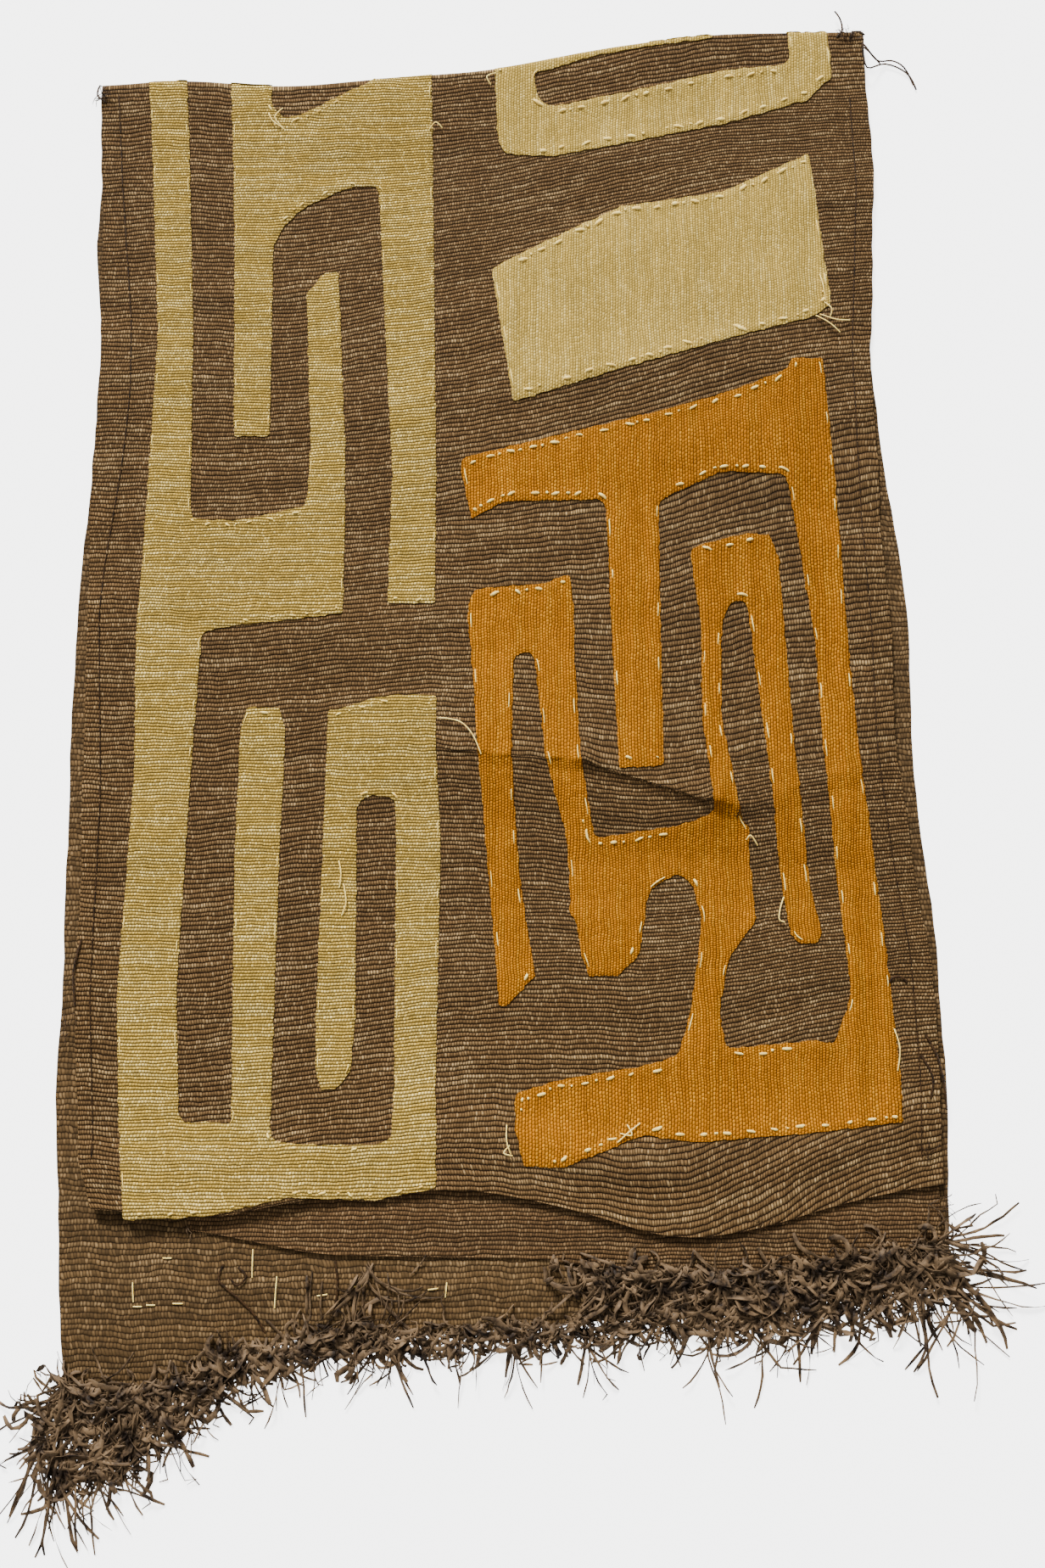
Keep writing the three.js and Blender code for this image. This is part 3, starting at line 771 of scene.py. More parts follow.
def cloth_shape(side, share):
    """The outer face of the folded cloth, from the under layer's hem to the upper one's."""
    row = share * CLOTH_ROWS
    fold = fold_start(side)
    under = row < UNDER_ROWS + 0.5
    turning = ~under & (row < UNDER_ROWS + TURN_ROWS + 0.5)
    under_share = np.clip(row / UNDER_ROWS, 0, 1)
    under_y = end_at(UNDER_HEM, side) * (1 - under_share) + fold * under_share
    angle = math.pi * (np.clip((row - UNDER_ROWS) / TURN_ROWS, 0, 1) - 0.5)
    upper_share = np.clip((row - UNDER_ROWS - TURN_ROWS) / UPPER_ROWS, 0, 1)
    upper_share = np.interp(upper_share, *zip(*UPPER_STEPS))
    upper_y = fold * (1 - upper_share) + end_at(UPPER_HEM, side) * upper_share
    x = np.where(
        under, place_across(side, under_y, "under"),
        place_across(side, np.where(turning, fold, upper_y), "upper"),
    )
    y = np.where(under, under_y, np.where(turning, fold + TURN_RADIUS * np.cos(angle), upper_y))
    z = np.where(under, 0, np.where(turning, TURN_RADIUS * (1 + np.sin(angle)), upper_top(x, y)))
    upper_along = UPPER_MAP_START + UPPER_MAP_LONG * upper_share + rib_shift(x, y)
    along = np.where(under, -under_y, upper_along)
    y = y - np.where(under | turning, 0, crease_lip(x, y))
    outward = np.sign(side - 0.5) * np.isclose(np.abs(side - 0.5), 0.5)
    x = x + outward * edge_wave(np.where(under, under_y, upper_y), under * UNDER_PHASE)
    return np.stack([x, y, z], axis=1), np.stack([side * CLOTH_MAP_WIDE, along], axis=1)


def build_cloth():
    """The folded cloth: one sheet, its right side on top and its wrong side on the under layer."""
    mesh = grid_mesh("folded_cloth", COLUMNS, CLOTH_ROWS, cloth_shape)
    cloth = add_piece("folded_cloth", mesh, look("brown"), look("wrong_side"))
    under = [int(face.index < COLUMNS * UNDER_ROWS) for face in mesh.polygons]
    mesh.polygons.foreach_set("material_index", under)
    mesh.flip_normals()
    thicken(cloth, bpy.context.scene.raffia_sizes.cloth_thick)
    settle(cloth, "cloth")


def strip_shape(side, share):
    """The border strip's top, from under the upper layer's lower edge to its own hem."""
    x = STRIP_LEFT + (STRIP_RIGHT - STRIP_LEFT) * side
    start = end_at(UPPER_HEM, share_across(x, UPPER_HEM[0][1])) + STRIP_TUCK
    y = start + (end_at(STRIP_HEM, side) - start) * share
    wave = STRIP_WAVE * share * share * (1 + np.sin(STRIP_WAVE_TURNS * side))
    z = UPPER_LOWEST + CLOTH_THICK - STRIP_FALL * share + wave
    return np.stack([x, y, z], axis=1), np.stack([side * STRIP_MAP_WIDE, y], axis=1)


def flat_size(places):
    """The width and length of a box round places."""
    across, along = list(zip(*places))[:2]
    return max(across) - min(across), max(along) - min(along)


def build_strip():
    """The border strip below the upper layer's lower edge."""
    mesh = grid_mesh("hem_strip", STRIP_COLUMNS, STRIP_CELLS, strip_shape)
    strip = add_piece("hem_strip", mesh, look("border"))
    mesh.flip_normals()
    thicken(strip, bpy.context.scene.raffia_sizes.cloth_thick)
    settle(strip, "border_strip")
    flat = flat_size([vert.co for vert in mesh.vertices])


def bar_distance(bar, points):
    """Signed distance from points to a bar's outline, negative inside it."""
    lefts, rights = zip(*bar)
    outline = np.array([*lefts, *reversed(rights)], float)
    nearest = np.full(len(points), np.inf)
    inside = np.zeros(len(points), bool)
    for start, end in zip(outline, np.roll(outline, -1, axis=0)):
        line = end - start
        if not line.any():
            continue
        offset = points - start
        walked = np.clip(offset @ line / (line @ line), 0, 1)
        nearest = np.minimum(nearest, np.linalg.norm(offset - walked[:, None] * line, axis=1))
        if line[1]:
            crosses = (start[1] > points[:, 1]) != (end[1] > points[:, 1])
            inside ^= crosses & (points[:, 0] < start[0] + offset[:, 1] / line[1] * line[0])
    return np.where(inside, -nearest, nearest)


def patch_distance(bars, points):
    """Signed distance from points to the outline of all the bars together."""
    return np.min([bar_distance(bar, points) for bar in bars], axis=0)


def unit(ways):
    """Directions with a length of 1, from a row each."""
    return ways / np.maximum(np.linalg.norm(ways, axis=1, keepdims=True), 1e-6)


def outline_slope(bars, points):
    """Which way is outward from the outline, at points near it."""
    return unit(np.stack([
        patch_distance(bars, points + step) - patch_distance(bars, points - step)
        for step in SLOPE_STEP * np.eye(2)
    ], axis=1))


def cut_patch(patch):
    """A flat mesh of cells inside the patch's outline."""
    corners = np.array([point for bar in patch.bars for row in bar for point in row], float)
    low = corners.min(axis=0) - PATCH_CELL
    high = corners.max(axis=0) + PATCH_CELL
    cells = np.ceil((high - low) / PATCH_CELL).astype(int)
    built = bmesh.new()
    bmesh.ops.create_grid(built, x_segments=int(cells[0]), y_segments=int(cells[1]), size=0.5)
    for vert in built.verts:
        vert.co.x = low[0] + (vert.co.x + 0.5) * cells[0] * PATCH_CELL
        vert.co.y = low[1] + (vert.co.y + 0.5) * cells[1] * PATCH_CELL
    middles = np.array([face.calc_center_median()[:2] for face in built.faces])
    outside = patch_distance(patch.bars, middles) > 0
    doomed = [face for face, out in zip(list(built.faces), outside) if out]
    bmesh.ops.delete(built, geom=doomed, context="FACES")
    if not built.faces:
        raise RuntimeError(f"{patch.name} has no cells inside its outline")
    return built


def rim_loops(built):
    """The vertices of each closed rim of a mesh, in order."""
    following = {}
    for edge in built.edges:
        if edge.is_boundary:
            loop = edge.link_loops[0]
            following[loop.vert] = loop.link_loop_next.vert
    loops = []
    while following:
        start = next(iter(following))
        ring = [start]
        vert = following.pop(start)
        while vert is not start and vert in following:
            ring.append(vert)
            vert = following.pop(vert)
        loops.append(ring)
    return loops


def split_touching(built):
    """Deletes cells that meet the rest at one corner, so that each rim is a simple loop."""
    for _ in range(SPLIT_STEPS):
        crossed = [vert for vert in built.verts if sum(e.is_boundary for e in vert.link_edges) > 2]
        if not crossed:
            return
        doomed = {min(vert.link_faces, key=lambda face: face.index) for vert in crossed}
        bmesh.ops.delete(built, geom=list(doomed), context="FACES")


def shape_patch(patch, built, seed):
    """Draws the rim onto the outline, rounds it, and evens out the cells. Returns the rims."""
    split_touching(built)
    built.verts.ensure_lookup_table()
    built.verts.index_update()
    loops = rim_loops(built)
    rim = [vert for ring in loops for vert in ring]
    points = np.array([vert.co[:2] for vert in rim])
    for _ in range(SNAP_STEPS):
        away = patch_distance(patch.bars, points)
        points = points - outline_slope(patch.bars, points) * away[:, None]
    for vert, point in zip(rim, points):
        vert.co.x, vert.co.y = point
    inner = [vert for vert in built.verts if not vert.is_boundary]
    for _ in range(ROUND_STEPS):
        for ring in loops:
            round_ring(ring)
        bmesh.ops.smooth_vert(
            built, verts=inner, factor=0.5, use_axis_x=True, use_axis_y=True, use_axis_z=False
        )
    chance = random.Random(seed)
    for ring in loops:
        fray_ring(ring, chance)
    return [[(vert.co.x, vert.co.y) for vert in ring] for ring in loops]


def rim_outward(ring, number):
    """Which way is outward from a patch at one place of its rim."""
    ahead = ring[(number + 1) % len(ring)].co - ring[number - 1].co
    return Vector((ahead.y, -ahead.x, 0)).normalized()


def round_ring(ring):
    """Rounds a rim a little: inner corners much more than outer ones."""
    places = [vert.co.copy() for vert in ring]
    ways = [rim_outward(ring, number) for number in range(len(ring))]
    for number, vert in enumerate(ring):
        both = (places[number - 1] + places[(number + 1) % len(ring)]) / 2
        move = (both - places[number]) * 0.5
        out = move.dot(ways[number])
        if out < 0:
            move -= ways[number] * out * (1 - OUTER_ROUND)
        vert.co = places[number] + move


def fray_ring(ring, chance):
    """Makes a rim uneven: slight scallops between its stitches, and frayed strands."""
    phase = chance.uniform(0, 6)
    walked = 0
    ways = [rim_outward(ring, number) for number in range(len(ring))]
    for number, vert in enumerate(ring):
        walked += (vert.co - ring[number - 1].co).length
        scallop = math.sin(math.tau * walked / SCALLOP_LONG + phase)
        slow = math.sin(math.tau * walked / SLOW_SCALLOP_LONG + 2 * phase)
        vert.co += ways[number] * (SCALLOP_DEEP * scallop * abs(slow) + chance.gauss(0, FRAY))


def patch_lift(from_rim):
    """How high a patch's top is above the cloth: a little fuller over its turned hem."""
    inside = smoothstep(from_rim, 0, PATCH_RIM_WIDE)
    turned = np.exp(-(((from_rim - PATCH_HEM_WIDE) / PATCH_HEM_WIDE) ** 2))
    return PATCH_RIM_HIGH + PATCH_MORE * inside * (1 + turned)


def drape_patch(built, loops):
    """Lays a flat patch on the upper layer. Returns its flat places, and its area in metres."""
    rim = [point for ring in loops for point in ring]
    tree = KDTree(len(rim))
    for number, (x, y) in enumerate(rim):
        tree.insert((x, y, 0), number)
    tree.balance()
    flat = np.array([vert.co[:] for vert in built.verts])
    crest = fold_start(share_across(flat[:, 0], flat[:, 1])) + PATCH_PAST_FOLD
    flat[:, 1] = np.minimum(flat[:, 1], crest)
    for vert, point in zip(built.verts, flat):
        vert.co = point
    area = sum(face.calc_area() for face in built.faces) * MM * MM
    from_rim = np.array([tree.find((x, y, 0))[2] for x, y in flat[:, :2]])
    x, y, _ = flat.T
    draped = np.stack([x, y - crease_lip(x, y), upper_top(x, y) + patch_lift(from_rim)], axis=1)
    for vert, point in zip(built.verts, draped * MM):
        vert.co = point
    return flat, area


def build_patch(patch, seed):
    """One patch: a sheet cut to its outline that follows the cloth under it."""
    sewing = patch.sewing
    built = cut_patch(patch)
    loops = shape_patch(patch, built, seed)
    flat, area = drape_patch(built, loops)
    name = f"{patch.name}_applique"
    mesh = sheet_mesh(name, built)
    across = flat[:, 0]
    along = flat[:, 1] - rib_shift(across, flat[:, 1])
    weave = [along, across] if sewing.ribs_along else [across, along]
    map_weave(mesh, np.stack(weave, axis=1), flat)
    piece = add_piece(name, mesh, look(sewing.look))
    thicken(piece, bpy.context.scene.raffia_sizes.patch_thick)
    settle(piece, f"{patch.name}_patch")
    stitches = build_stitches(patch, loops, seed + STITCH_SEEDS)
    flat_size(flat * MM)


def strand_curve(name, strands, half_width, thick):
    """Many thin strands in one curve object. Each is a list of (x, y, z, width, turn)."""
    curve = bpy.data.curves.new(name, "CURVE")
    curve.dimensions = "3D"
    curve.twist_mode = "Z_UP"
    curve.extrude = max(half_width - thick, 0) * MM
    curve.bevel_depth = thick * MM
    curve.bevel_resolution = 0
    curve.use_fill_caps = True
    curve.resolution_u = 1
    for points in strands:
        spline = curve.splines.new("POLY")
        spline.points.add(len(points) - 1)
        for point, (x, y, z, width, turn) in zip(spline.points, points):
            point.co = (x * MM, y * MM, z * MM, 1)
            point.radius = width
            point.tilt = turn + math.pi / 2
    return curve


def walk_ring(ring):
    """Steps of 1 mm round a closed ring: the places, and the direction at each."""
    closed = np.array([*ring, ring[0]])
    lengths = np.linalg.norm(np.diff(closed, axis=0), axis=1)
    walked = np.concatenate([[0], np.cumsum(lengths)])
    steps = np.arange(0, walked[-1], 1.0)
    smooth = RIM_WALK_SMOOTH
    kernel = np.ones(2 * smooth + 1) / (2 * smooth + 1)
    softened = []
    for line in closed.T:
        line = np.interp(steps, walked, line)
        line = np.concatenate([line[-smooth:], line, line[:smooth]])
        softened.append(np.convolve(line, kernel, "valid"))
    toward = unit(np.stack([np.gradient(line) for line in softened], axis=1))
    return np.stack(softened, axis=1), toward


def stitch_points(path, toward, start, long, width, side, slant=0):
    """One stitch over the cloth: it comes up, lies on top and goes down again."""
    points = []
    for share in np.linspace(0, 1, STITCH_POINTS):
        at = int(start + long * share) % len(path)
        inset = side + slant * (share - 0.5) * long
        x, y = path[at] + inset * np.array([-toward[at][1], toward[at][0]])
        swell = STITCH_END + (1 - STITCH_END) * math.sin(math.pi * share)
        points.append((x, y, share, width * swell))
    return points


def lay_stitches(flat_stitches):
    """Sets the heights of stitches on the patches' tops, and leaves out any past the fold."""
    laid = []
    for points in flat_stitches:
        x, y, share, width = np.array(points).T
        if np.any(y > fold_start(share_across(x, y))):
            continue
        arch = STITCH_ARCH * np.sin(math.pi * share)
        z = upper_top(x, y) + STITCH_BASE + arch - STITCH_SINK * np.abs(2 * share - 1) ** 3
        laid.append([(*place, 0) for place in zip(x, y, z, width)])
    return laid


def patch_stitches(patch, loops, seed):
    """Running stitches round a patch, a little inside its edge: a long one and a dot by turns."""
    chance = random.Random(seed)
    sewing = patch.sewing
    found = []
    for ring in loops:
        path, toward = walk_ring(ring)
        at = chance.uniform(0, FIRST_STITCH)
        while at < len(path) - sewing.stitch_long - LAST_STITCH:
            run = LENGTHWISE if abs(toward[int(at)][1]) > LENGTHWISE_FROM else CROSSWISE
            long = sewing.stitch_long * chance.uniform(*LONG_VARIES) * run.long
            inset = sewing.inset * chance.uniform(*INSET_VARIES) * run.inset
            width = sewing.stitch_wide * chance.uniform(*WIDE_VARIES) * run.wide
            slant = chance.gauss(0, STITCH_SLANT) if run is CROSSWISE else 0
            if chance.random() > run.left_out:
                found.append(stitch_points(path, toward, at, long, width, inset, slant))
            gap = sewing.stitch_gap * chance.uniform(*GAP_VARIES) * run.gap
            if chance.random() < run.dotted:
                dot = at + long + gap / 2
                found.append(stitch_points(path, toward, dot, DOT_LONG, width * DOT_WIDE, inset))
            at += long + gap
    return found


def build_stitches(patch, loops, seed):
    """The stitches that hold one patch down."""
    strands = lay_stitches(patch_stitches(patch, loops, seed))
    name = f"{patch.name}_stitches"
    half_width = bpy.context.scene.raffia_sizes.stitch_wide / 2 / MM
    piece = add_piece(name, strand_curve(name, strands, half_width, STITCH_THICK), look("thread"))
    settle(piece)
    return piece


def strand_walk(chance, root, long, lean, curl, kind, rest):
    """The way of one fringe strand: it leans, bends or loops, folds to and fro, and lifts."""
    step_long = long / (kind.points - 1)
    x, y = root
    heading = lean
    bend = chance.gauss(0, PLAIN_BEND * curl)
    if chance.random() < kind.loops * curl:
        bend = chance.choice([-1, 1]) * chance.uniform(*LOOP_BEND)
    lift = chance.uniform(LOWEST_LIFT, kind.lift)
    arcs = chance.choice(ARCS)
    tilt = chance.uniform(-ROLL, ROLL)
    wide = kind.thin + (kind.wide - kind.thin) * chance.random() ** THIN_MORE
    way = chance.choice([-1, 1])
    points = []
    for step in range(kind.points):
        share = step / (kind.points - 1)
        width = wide * chance.uniform(*WIDTH_VARIES) * (kind.tip if share in (0, 1) else 1)
        off = STRAND_THICK + STRAND_CLEAR + width * abs(math.sin(tilt))
        z = float(rest(x, y)) + off + lift * abs(math.sin(math.pi * share * arcs))
        points.append((x, y, z, width, tilt))
        tilt += chance.gauss(0, ROLL_STEP)
        heading += bend + chance.gauss(0, WANDER * curl)
        if chance.random() < kind.kinks * curl:
            way = -way
            heading = lean + way * chance.uniform(*KINK_TURN)
            tilt = chance.uniform(-KINK_ROLL, KINK_ROLL)
        x += math.sin(heading) * step_long
        y -= math.cos(heading) * step_long
    return points


def lock_at(locks, share):
    """What a fringe is like at a place between the rows of its table."""
    shares = column(locks, "share")
    return Lock(*(float(np.interp(share, shares, column(locks, name))) for name in Lock._fields))


def fringe_strands(locks, root_at, kind, rest, seed):
    """All the strands of one kind in a fringe. root_at(share) gives the root of a strand."""
    chance = random.Random(seed)
    fine = np.linspace(0, 1, CROWD_STEPS)
    crowd = np.cumsum(np.interp(fine, column(locks, "share"), column(locks, "crowd")))
    full = bpy.context.scene.raffia_sizes.fringe_full
    count = int(kind.count * full * crowd[-1] / CROWD_STEPS)
    strands = []
    for number in range(count):
        placed = (number + chance.uniform(-1, 1)) / count * crowd[-1]
        share = float(np.interp(placed, crowd, fine))
        lock = lock_at(locks, share)
        long = lock.long * chance.uniform(kind.short, kind.long)
        lean = math.radians(lock.lean)
        aside = chance.gauss(0, kind.spread * lock.curl)
        toward = lean + max(min(aside, WIDEST_LEAN), -WIDEST_LEAN)
        deep = lock.deep * max(chance.random() - HEM_SHARE, 0) / (1 - HEM_SHARE)
        x, y = root_at(share)
        y += chance.uniform(-kind.past, kind.before)
        root = (x + deep * math.sin(lean), y - deep * math.cos(lean))
        strands.append(strand_walk(chance, root, long, toward, lock.curl, kind, rest))
    return strands


def under_root(share):
    """The root of an under-layer strand."""
    y = float(end_at(UNDER_HEM, share))
    return float(place_across(share, y, "under")), y


def upper_root(share):
    """The root of a border-strip strand."""
    return STRIP_LEFT + (STRIP_RIGHT - STRIP_LEFT) * share, float(end_at(STRIP_HEM, share))


def under_rest(x, y):
    """What a strand lies on near the under layer's hem: the layer, or the floor past it."""
    hem = end_at(UNDER_HEM, share_across(x, y, "under"))
    left = edge_at(y, "under_left")
    right = edge_at(y, "under_right")
    beside = smoothstep(x - left, *SIDE_SLOPE) * smoothstep(right - x, *SIDE_SLOPE)
    return UNDER_LAYER_HIGH * smoothstep(y - hem, *HEM_SLOPE) * beside


def upper_rest(x, y):
    """What a strand lies on near the strip's hem: the strip, the under layer or the floor."""
    hem = end_at(STRIP_HEM, (x - STRIP_LEFT) / (STRIP_RIGHT - STRIP_LEFT))
    return under_rest(x, y) + STRIP_HIGH * smoothstep(y - hem, *STRIP_SLOPE)


def build_fringe(name, node, locks, fans, root_at, rest, seed):
    """One fringe: fans of long strands, a tangle of short wide ones, and thinner ones."""
    strands = frayed_strands(fans, FAN, rest, seed + FAN_SEEDS)
    for number, kind in enumerate((TANGLE, STREAMERS, WISPS)):
        strands += fringe_strands(locks, root_at, kind, rest, seed + number)
    half_width = bpy.context.scene.raffia_sizes.strand_wide / 2 / MM
    piece = add_piece(name, strand_curve(name, strands, half_width, STRAND_THICK), look("fringe"))
    settle(piece, node)


def smooth_line(points, steps):
    """More points on a soft curve through some points."""
    places = np.array([points[0], *points, points[-1]], float)
    found = []
    for a, b, c, d in zip(places, places[1:], places[2:], places[3:]):
        for step in range(steps):
            t = step / steps
            found.append(0.5 * (
                2 * b + (c - a) * t + (2 * a - 5 * b + 4 * c - d) * t**2
                + (3 * b - a - 3 * c + d) * t**3
            ))
    found.append(places[-1])
    return np.array(found)


def lay_threads(lines, height_at, arch):
    """Threads through some points, on the height that height_at(x, y) gives."""
    laid = []
    for line in lines:
        places = smooth_line(line, LINE_STEPS)
        share = np.linspace(0, 1, len(places))
        z = height_at(places[:, 0], places[:, 1]) + arch * np.sin(math.pi * share)
        laid.append([(x, y, height, 1, 0) for (x, y), height in zip(places, z)])
    return laid


def above_upper(x, y):
    """The height of a thread on the upper layer, and on the floor beside it."""
    beside = smoothstep(np.abs(share_across(x, y) - 0.5), *BESIDE_CLOTH)
    return (upper_top(x, y) + THREAD_HIGH) * (1 - beside) + FLOOR_THREAD_HIGH * beside


def above_patches(x, y):
    """The height of a thread that starts on a patch."""
    return above_upper(x, y) + PATCH_THREAD_HIGH


def above_under(x, y):
    """The height of a thread on the under layer."""
    return np.full(len(x), SHEET_TOP + THREAD_HIGH)


def frayed_strands(frays, kind, rest, seed):
    """Loose ends of one kind that spread from a few places."""
    chance = random.Random(seed)
    strands = []
    for fray in frays:
        for _ in range(fray.count):
            root = (fray.x + chance.gauss(0, kind.before), fray.y + chance.gauss(0, kind.past))
            toward = math.radians(fray.toward) + chance.gauss(0, kind.spread)
            long = fray.long * chance.uniform(kind.short, kind.long)
            strands.append(strand_walk(chance, root, long, toward, 1, kind, rest))
    return strands


def seam_stitches():
    """The dark running stitches along the turned hems at the sides."""
    lines = []
    for y in np.arange(HEM_STITCHES_FROM, HEM_STITCHES_TO, HEM_STITCH_STEP):
        ends = np.array([y, y + HEM_STITCH])
        lines.append(list(zip(left_hem_at(ends), ends)))
        lines.append(list(zip(right_hem_at(ends), ends)))
    return lines


def build_threads():
    """All the loose threads, frayed ends and hem stitches."""
    cream = lay_threads(CREAM_THREADS, above_patches, CREAM_ARCH)
    cream += lay_threads(UNDER_CREAM_THREADS, above_under, UNDER_CREAM_ARCH)
    add_threads("cream_threads", cream, CREAM_HALF, "thread")
    brown = lay_threads(BROWN_THREADS, above_upper, BROWN_ARCH)
    brown += lay_threads(UNDER_BROWN_THREADS, above_under, BROWN_ARCH)
    brown += frayed_strands(FRAYS, TUFT, above_upper, TUFT_SEED)
    add_threads("brown_threads", brown, BROWN_HALF, "dark_thread")
    seams = lay_threads(seam_stitches(), above_upper, 0)
    add_threads("seam_threads", seams, SEAM_HALF, "dark_thread")


def add_threads(name, strands, half_width, kind):
    """One piece of threads."""
    settle(add_piece(name, strand_curve(name, strands, half_width, THREAD_THICK), look(kind)))


def linear(*values):
    """A colour given in 0 to 255 as the eye sees it, for a shader."""
    shares = [value / 255 for value in values]
    return [
        share / 12.92 if share <= 0.04045 else ((share + 0.055) / 1.055) ** 2.4
        for share in shares
    ]


class Value:
    """A value in a node tree. Reckoning with it adds math nodes to the tree."""

    def __init__(self, shader, socket):
        self.shader = shader
        self.socket = socket

    def math(self, operation, *others):
        """The result of a math node that starts from this value."""
        return self.shader.math(operation, self, *others)

    def spread(self, low, high):
        """A value from 0 to 1, spread out between two others."""
        return self * (high - low) + low

    def __add__(self, other):
        return self.math("ADD", other)

    def __sub__(self, other):
        return self.math("SUBTRACT", other)

    def __rsub__(self, other):
        return self.shader.math("SUBTRACT", other, self)

    def __mul__(self, other):
        return self.math("MULTIPLY", other)

    def __truediv__(self, other):
        return self.math("DIVIDE", other)

    def __pow__(self, other):
        return self.math("POWER", other)


class Shader:
    """Adds nodes to a material or node group and links them."""

    def __init__(self, tree):
        self.tree = tree

    def add(self, kind, inputs=(), **settings):
        """A new node. inputs are pairs of a socket's name or number and a value or socket."""
        node = self.tree.nodes.new(kind)
        for name, value in settings.items():
            setattr(node, name, value)
        for key, value in inputs:
            self.feed(node.inputs[key], value)
        return node

    def feed(self, socket, value):
        """Links a socket to another one, or sets its value."""
        value = getattr(value, "socket", value)
        if isinstance(value, bpy.types.NodeSocket):
            self.tree.links.new(value, socket)
        else:
            socket.default_value = value

    def value(self, kind, inputs, output=0, **settings):
        """The value that a new node puts out."""
        return Value(self, self.add(kind, inputs, **settings).outputs[output])

    def math(self, operation, *values):
        """A math node's result."""
        return self.value("ShaderNodeMath", enumerate(values), operation=operation)

    def mix(self, factor, first, second, blend="MIX"):
        """A blend of two colours."""
        inputs = ((0, factor), (6, first), (7, second))
        return self.add("ShaderNodeMix", inputs, data_type="RGBA", blend_type=blend).outputs[2]

    def noise(self, vector, scale, detail, roughness=0.5):
        """A noise texture's value."""
        return self.value(
            "ShaderNodeTexNoise",
            (("Vector", vector), ("Scale", scale), ("Detail", detail), ("Roughness", roughness)),
        )

    def span(self, value, low, high):
        """0 below low, 1 above high, and an even rise between them."""
        inputs = (("Value", value), ("From Min", low), ("From Max", high))
        return self.value("ShaderNodeMapRange", inputs)

    def vector(self, x, y):
        """A vector from two values."""
        return self.add("ShaderNodeCombineXYZ", ((0, x), (1, y))).outputs[0]

    def stretched(self, vector, across, along):
        """A vector with its X and Y scaled, so that a texture on it is drawn out."""
        inputs = ((0, vector), (1, (across, along, 1)))
        return self.add("ShaderNodeVectorMath", inputs, operation="MULTIPLY").outputs[0]

    def finish(self, colour, roughness, height, specular, strength, depth):
        """Ends a material with a matt surface that has a bump."""
        bump = self.add(
            "ShaderNodeBump", (("Strength", strength), ("Distance", depth), ("Height", height))
        )
        surface = self.add("ShaderNodeBsdfPrincipled", (
            ("Base Color", colour), ("Roughness", roughness), ("Specular IOR Level", specular),
            ("Normal", bump.outputs[0]),
        ))
        self.add("ShaderNodeOutputMaterial", ((0, surface.outputs[0]),))


# The weave's own unevenness: the sways' noise scale, its detail and how far it moves the ribs in
# metres, the shift of a row's cells, scales of the fibres, of the light runs and from row to row
SWAYS = [(34, 2, 0.0075), (190, 1, 0.0012)]
CELL_SHIFT = 0.35
FIBRE_SCALES = (300, 2600)
SEGMENT_SCALE = 24
ROW_APART = 7.3
# How round the ribs and crossing strands are, and how high the fibres stand
RIB_ROUND = 0.7
CROSS_ROUND = 0.6
FIBRE_HIGH = 0.2


def new_group(name, inputs, outputs):
    """An empty shader node group with a vector and some values as its sockets."""
    group = bpy.data.node_groups.new(name, "ShaderNodeTree")
    group.interface.new_socket("Vector", in_out="INPUT", socket_type="NodeSocketVector")
    for way, labels in (("INPUT", inputs), ("OUTPUT", outputs)):
        for label in labels:
            group.interface.new_socket(label, in_out=way, socket_type="NodeSocketFloat")
    return group, group.nodes.new("NodeGroupInput"), group.nodes.new("NodeGroupOutput")


def weave_group():
    """Ribs and crossing strands of a raffia weave, over a UV map in metres."""
    group, given, result = new_group(
        "raffia_weave", ["Rib Pitch", "Cross Pitch", "Unevenness"],
        ["Rib", "Cross", "Row Chance", "Cell Chance", "Fibre", "Segment", "Height"],
    )
    shader = Shader(group)
    vector, rib_pitch, cross_pitch, uneven = list(given.outputs)[:4]
    split = shader.add("ShaderNodeSeparateXYZ", ((0, vector),))
    x, y = (Value(shader, socket) for socket in split.outputs[:2])
    sway, fine_sway = (
        (shader.noise(vector, scale, detail) - 0.5) * far for scale, detail, far in SWAYS
    )
    shift = (sway + fine_sway) * uneven
    row = (y + shift) / rib_pitch
    row_number = row.math("FLOOR")
    rib = (row.math("FRACT") * math.pi).math("SINE")
    noise = "ShaderNodeTexWhiteNoise"
    row_chance = shader.value(noise, (("W", row_number),), "Value", noise_dimensions="1D")
    odd = row_number.math("MODULO", 2) * 0.5
    cell = (x + shift) / cross_pitch + odd + row_chance * CELL_SHIFT
    cross = (cell.math("FRACT") * math.pi).math("SINE")
    place = shader.vector(cell.math("FLOOR"), row_number)
    cell_chance = shader.value(noise, (("Vector", place),), "Value", noise_dimensions="2D")
    fibre = shader.noise(shader.stretched(vector, *FIBRE_SCALES), 1, 2)
    segment = shader.noise(shader.vector(x * SEGMENT_SCALE, row_number * ROW_APART), 1, 1)
    height = rib**RIB_ROUND * (cross**CROSS_ROUND).spread(0.5, 1) + fibre * FIBRE_HIGH
    found = (rib, cross, row_chance, cell_chance, fibre, segment, height)
    for socket, value in zip(result.inputs, found):
        shader.feed(socket, value)
    return group


def new_material(name):
    """An empty material, and what adds nodes to it."""
    material = bpy.data.materials.new(name)
    material.use_nodes = True
    material.node_tree.nodes.clear()
    return material, Shader(material.node_tree)


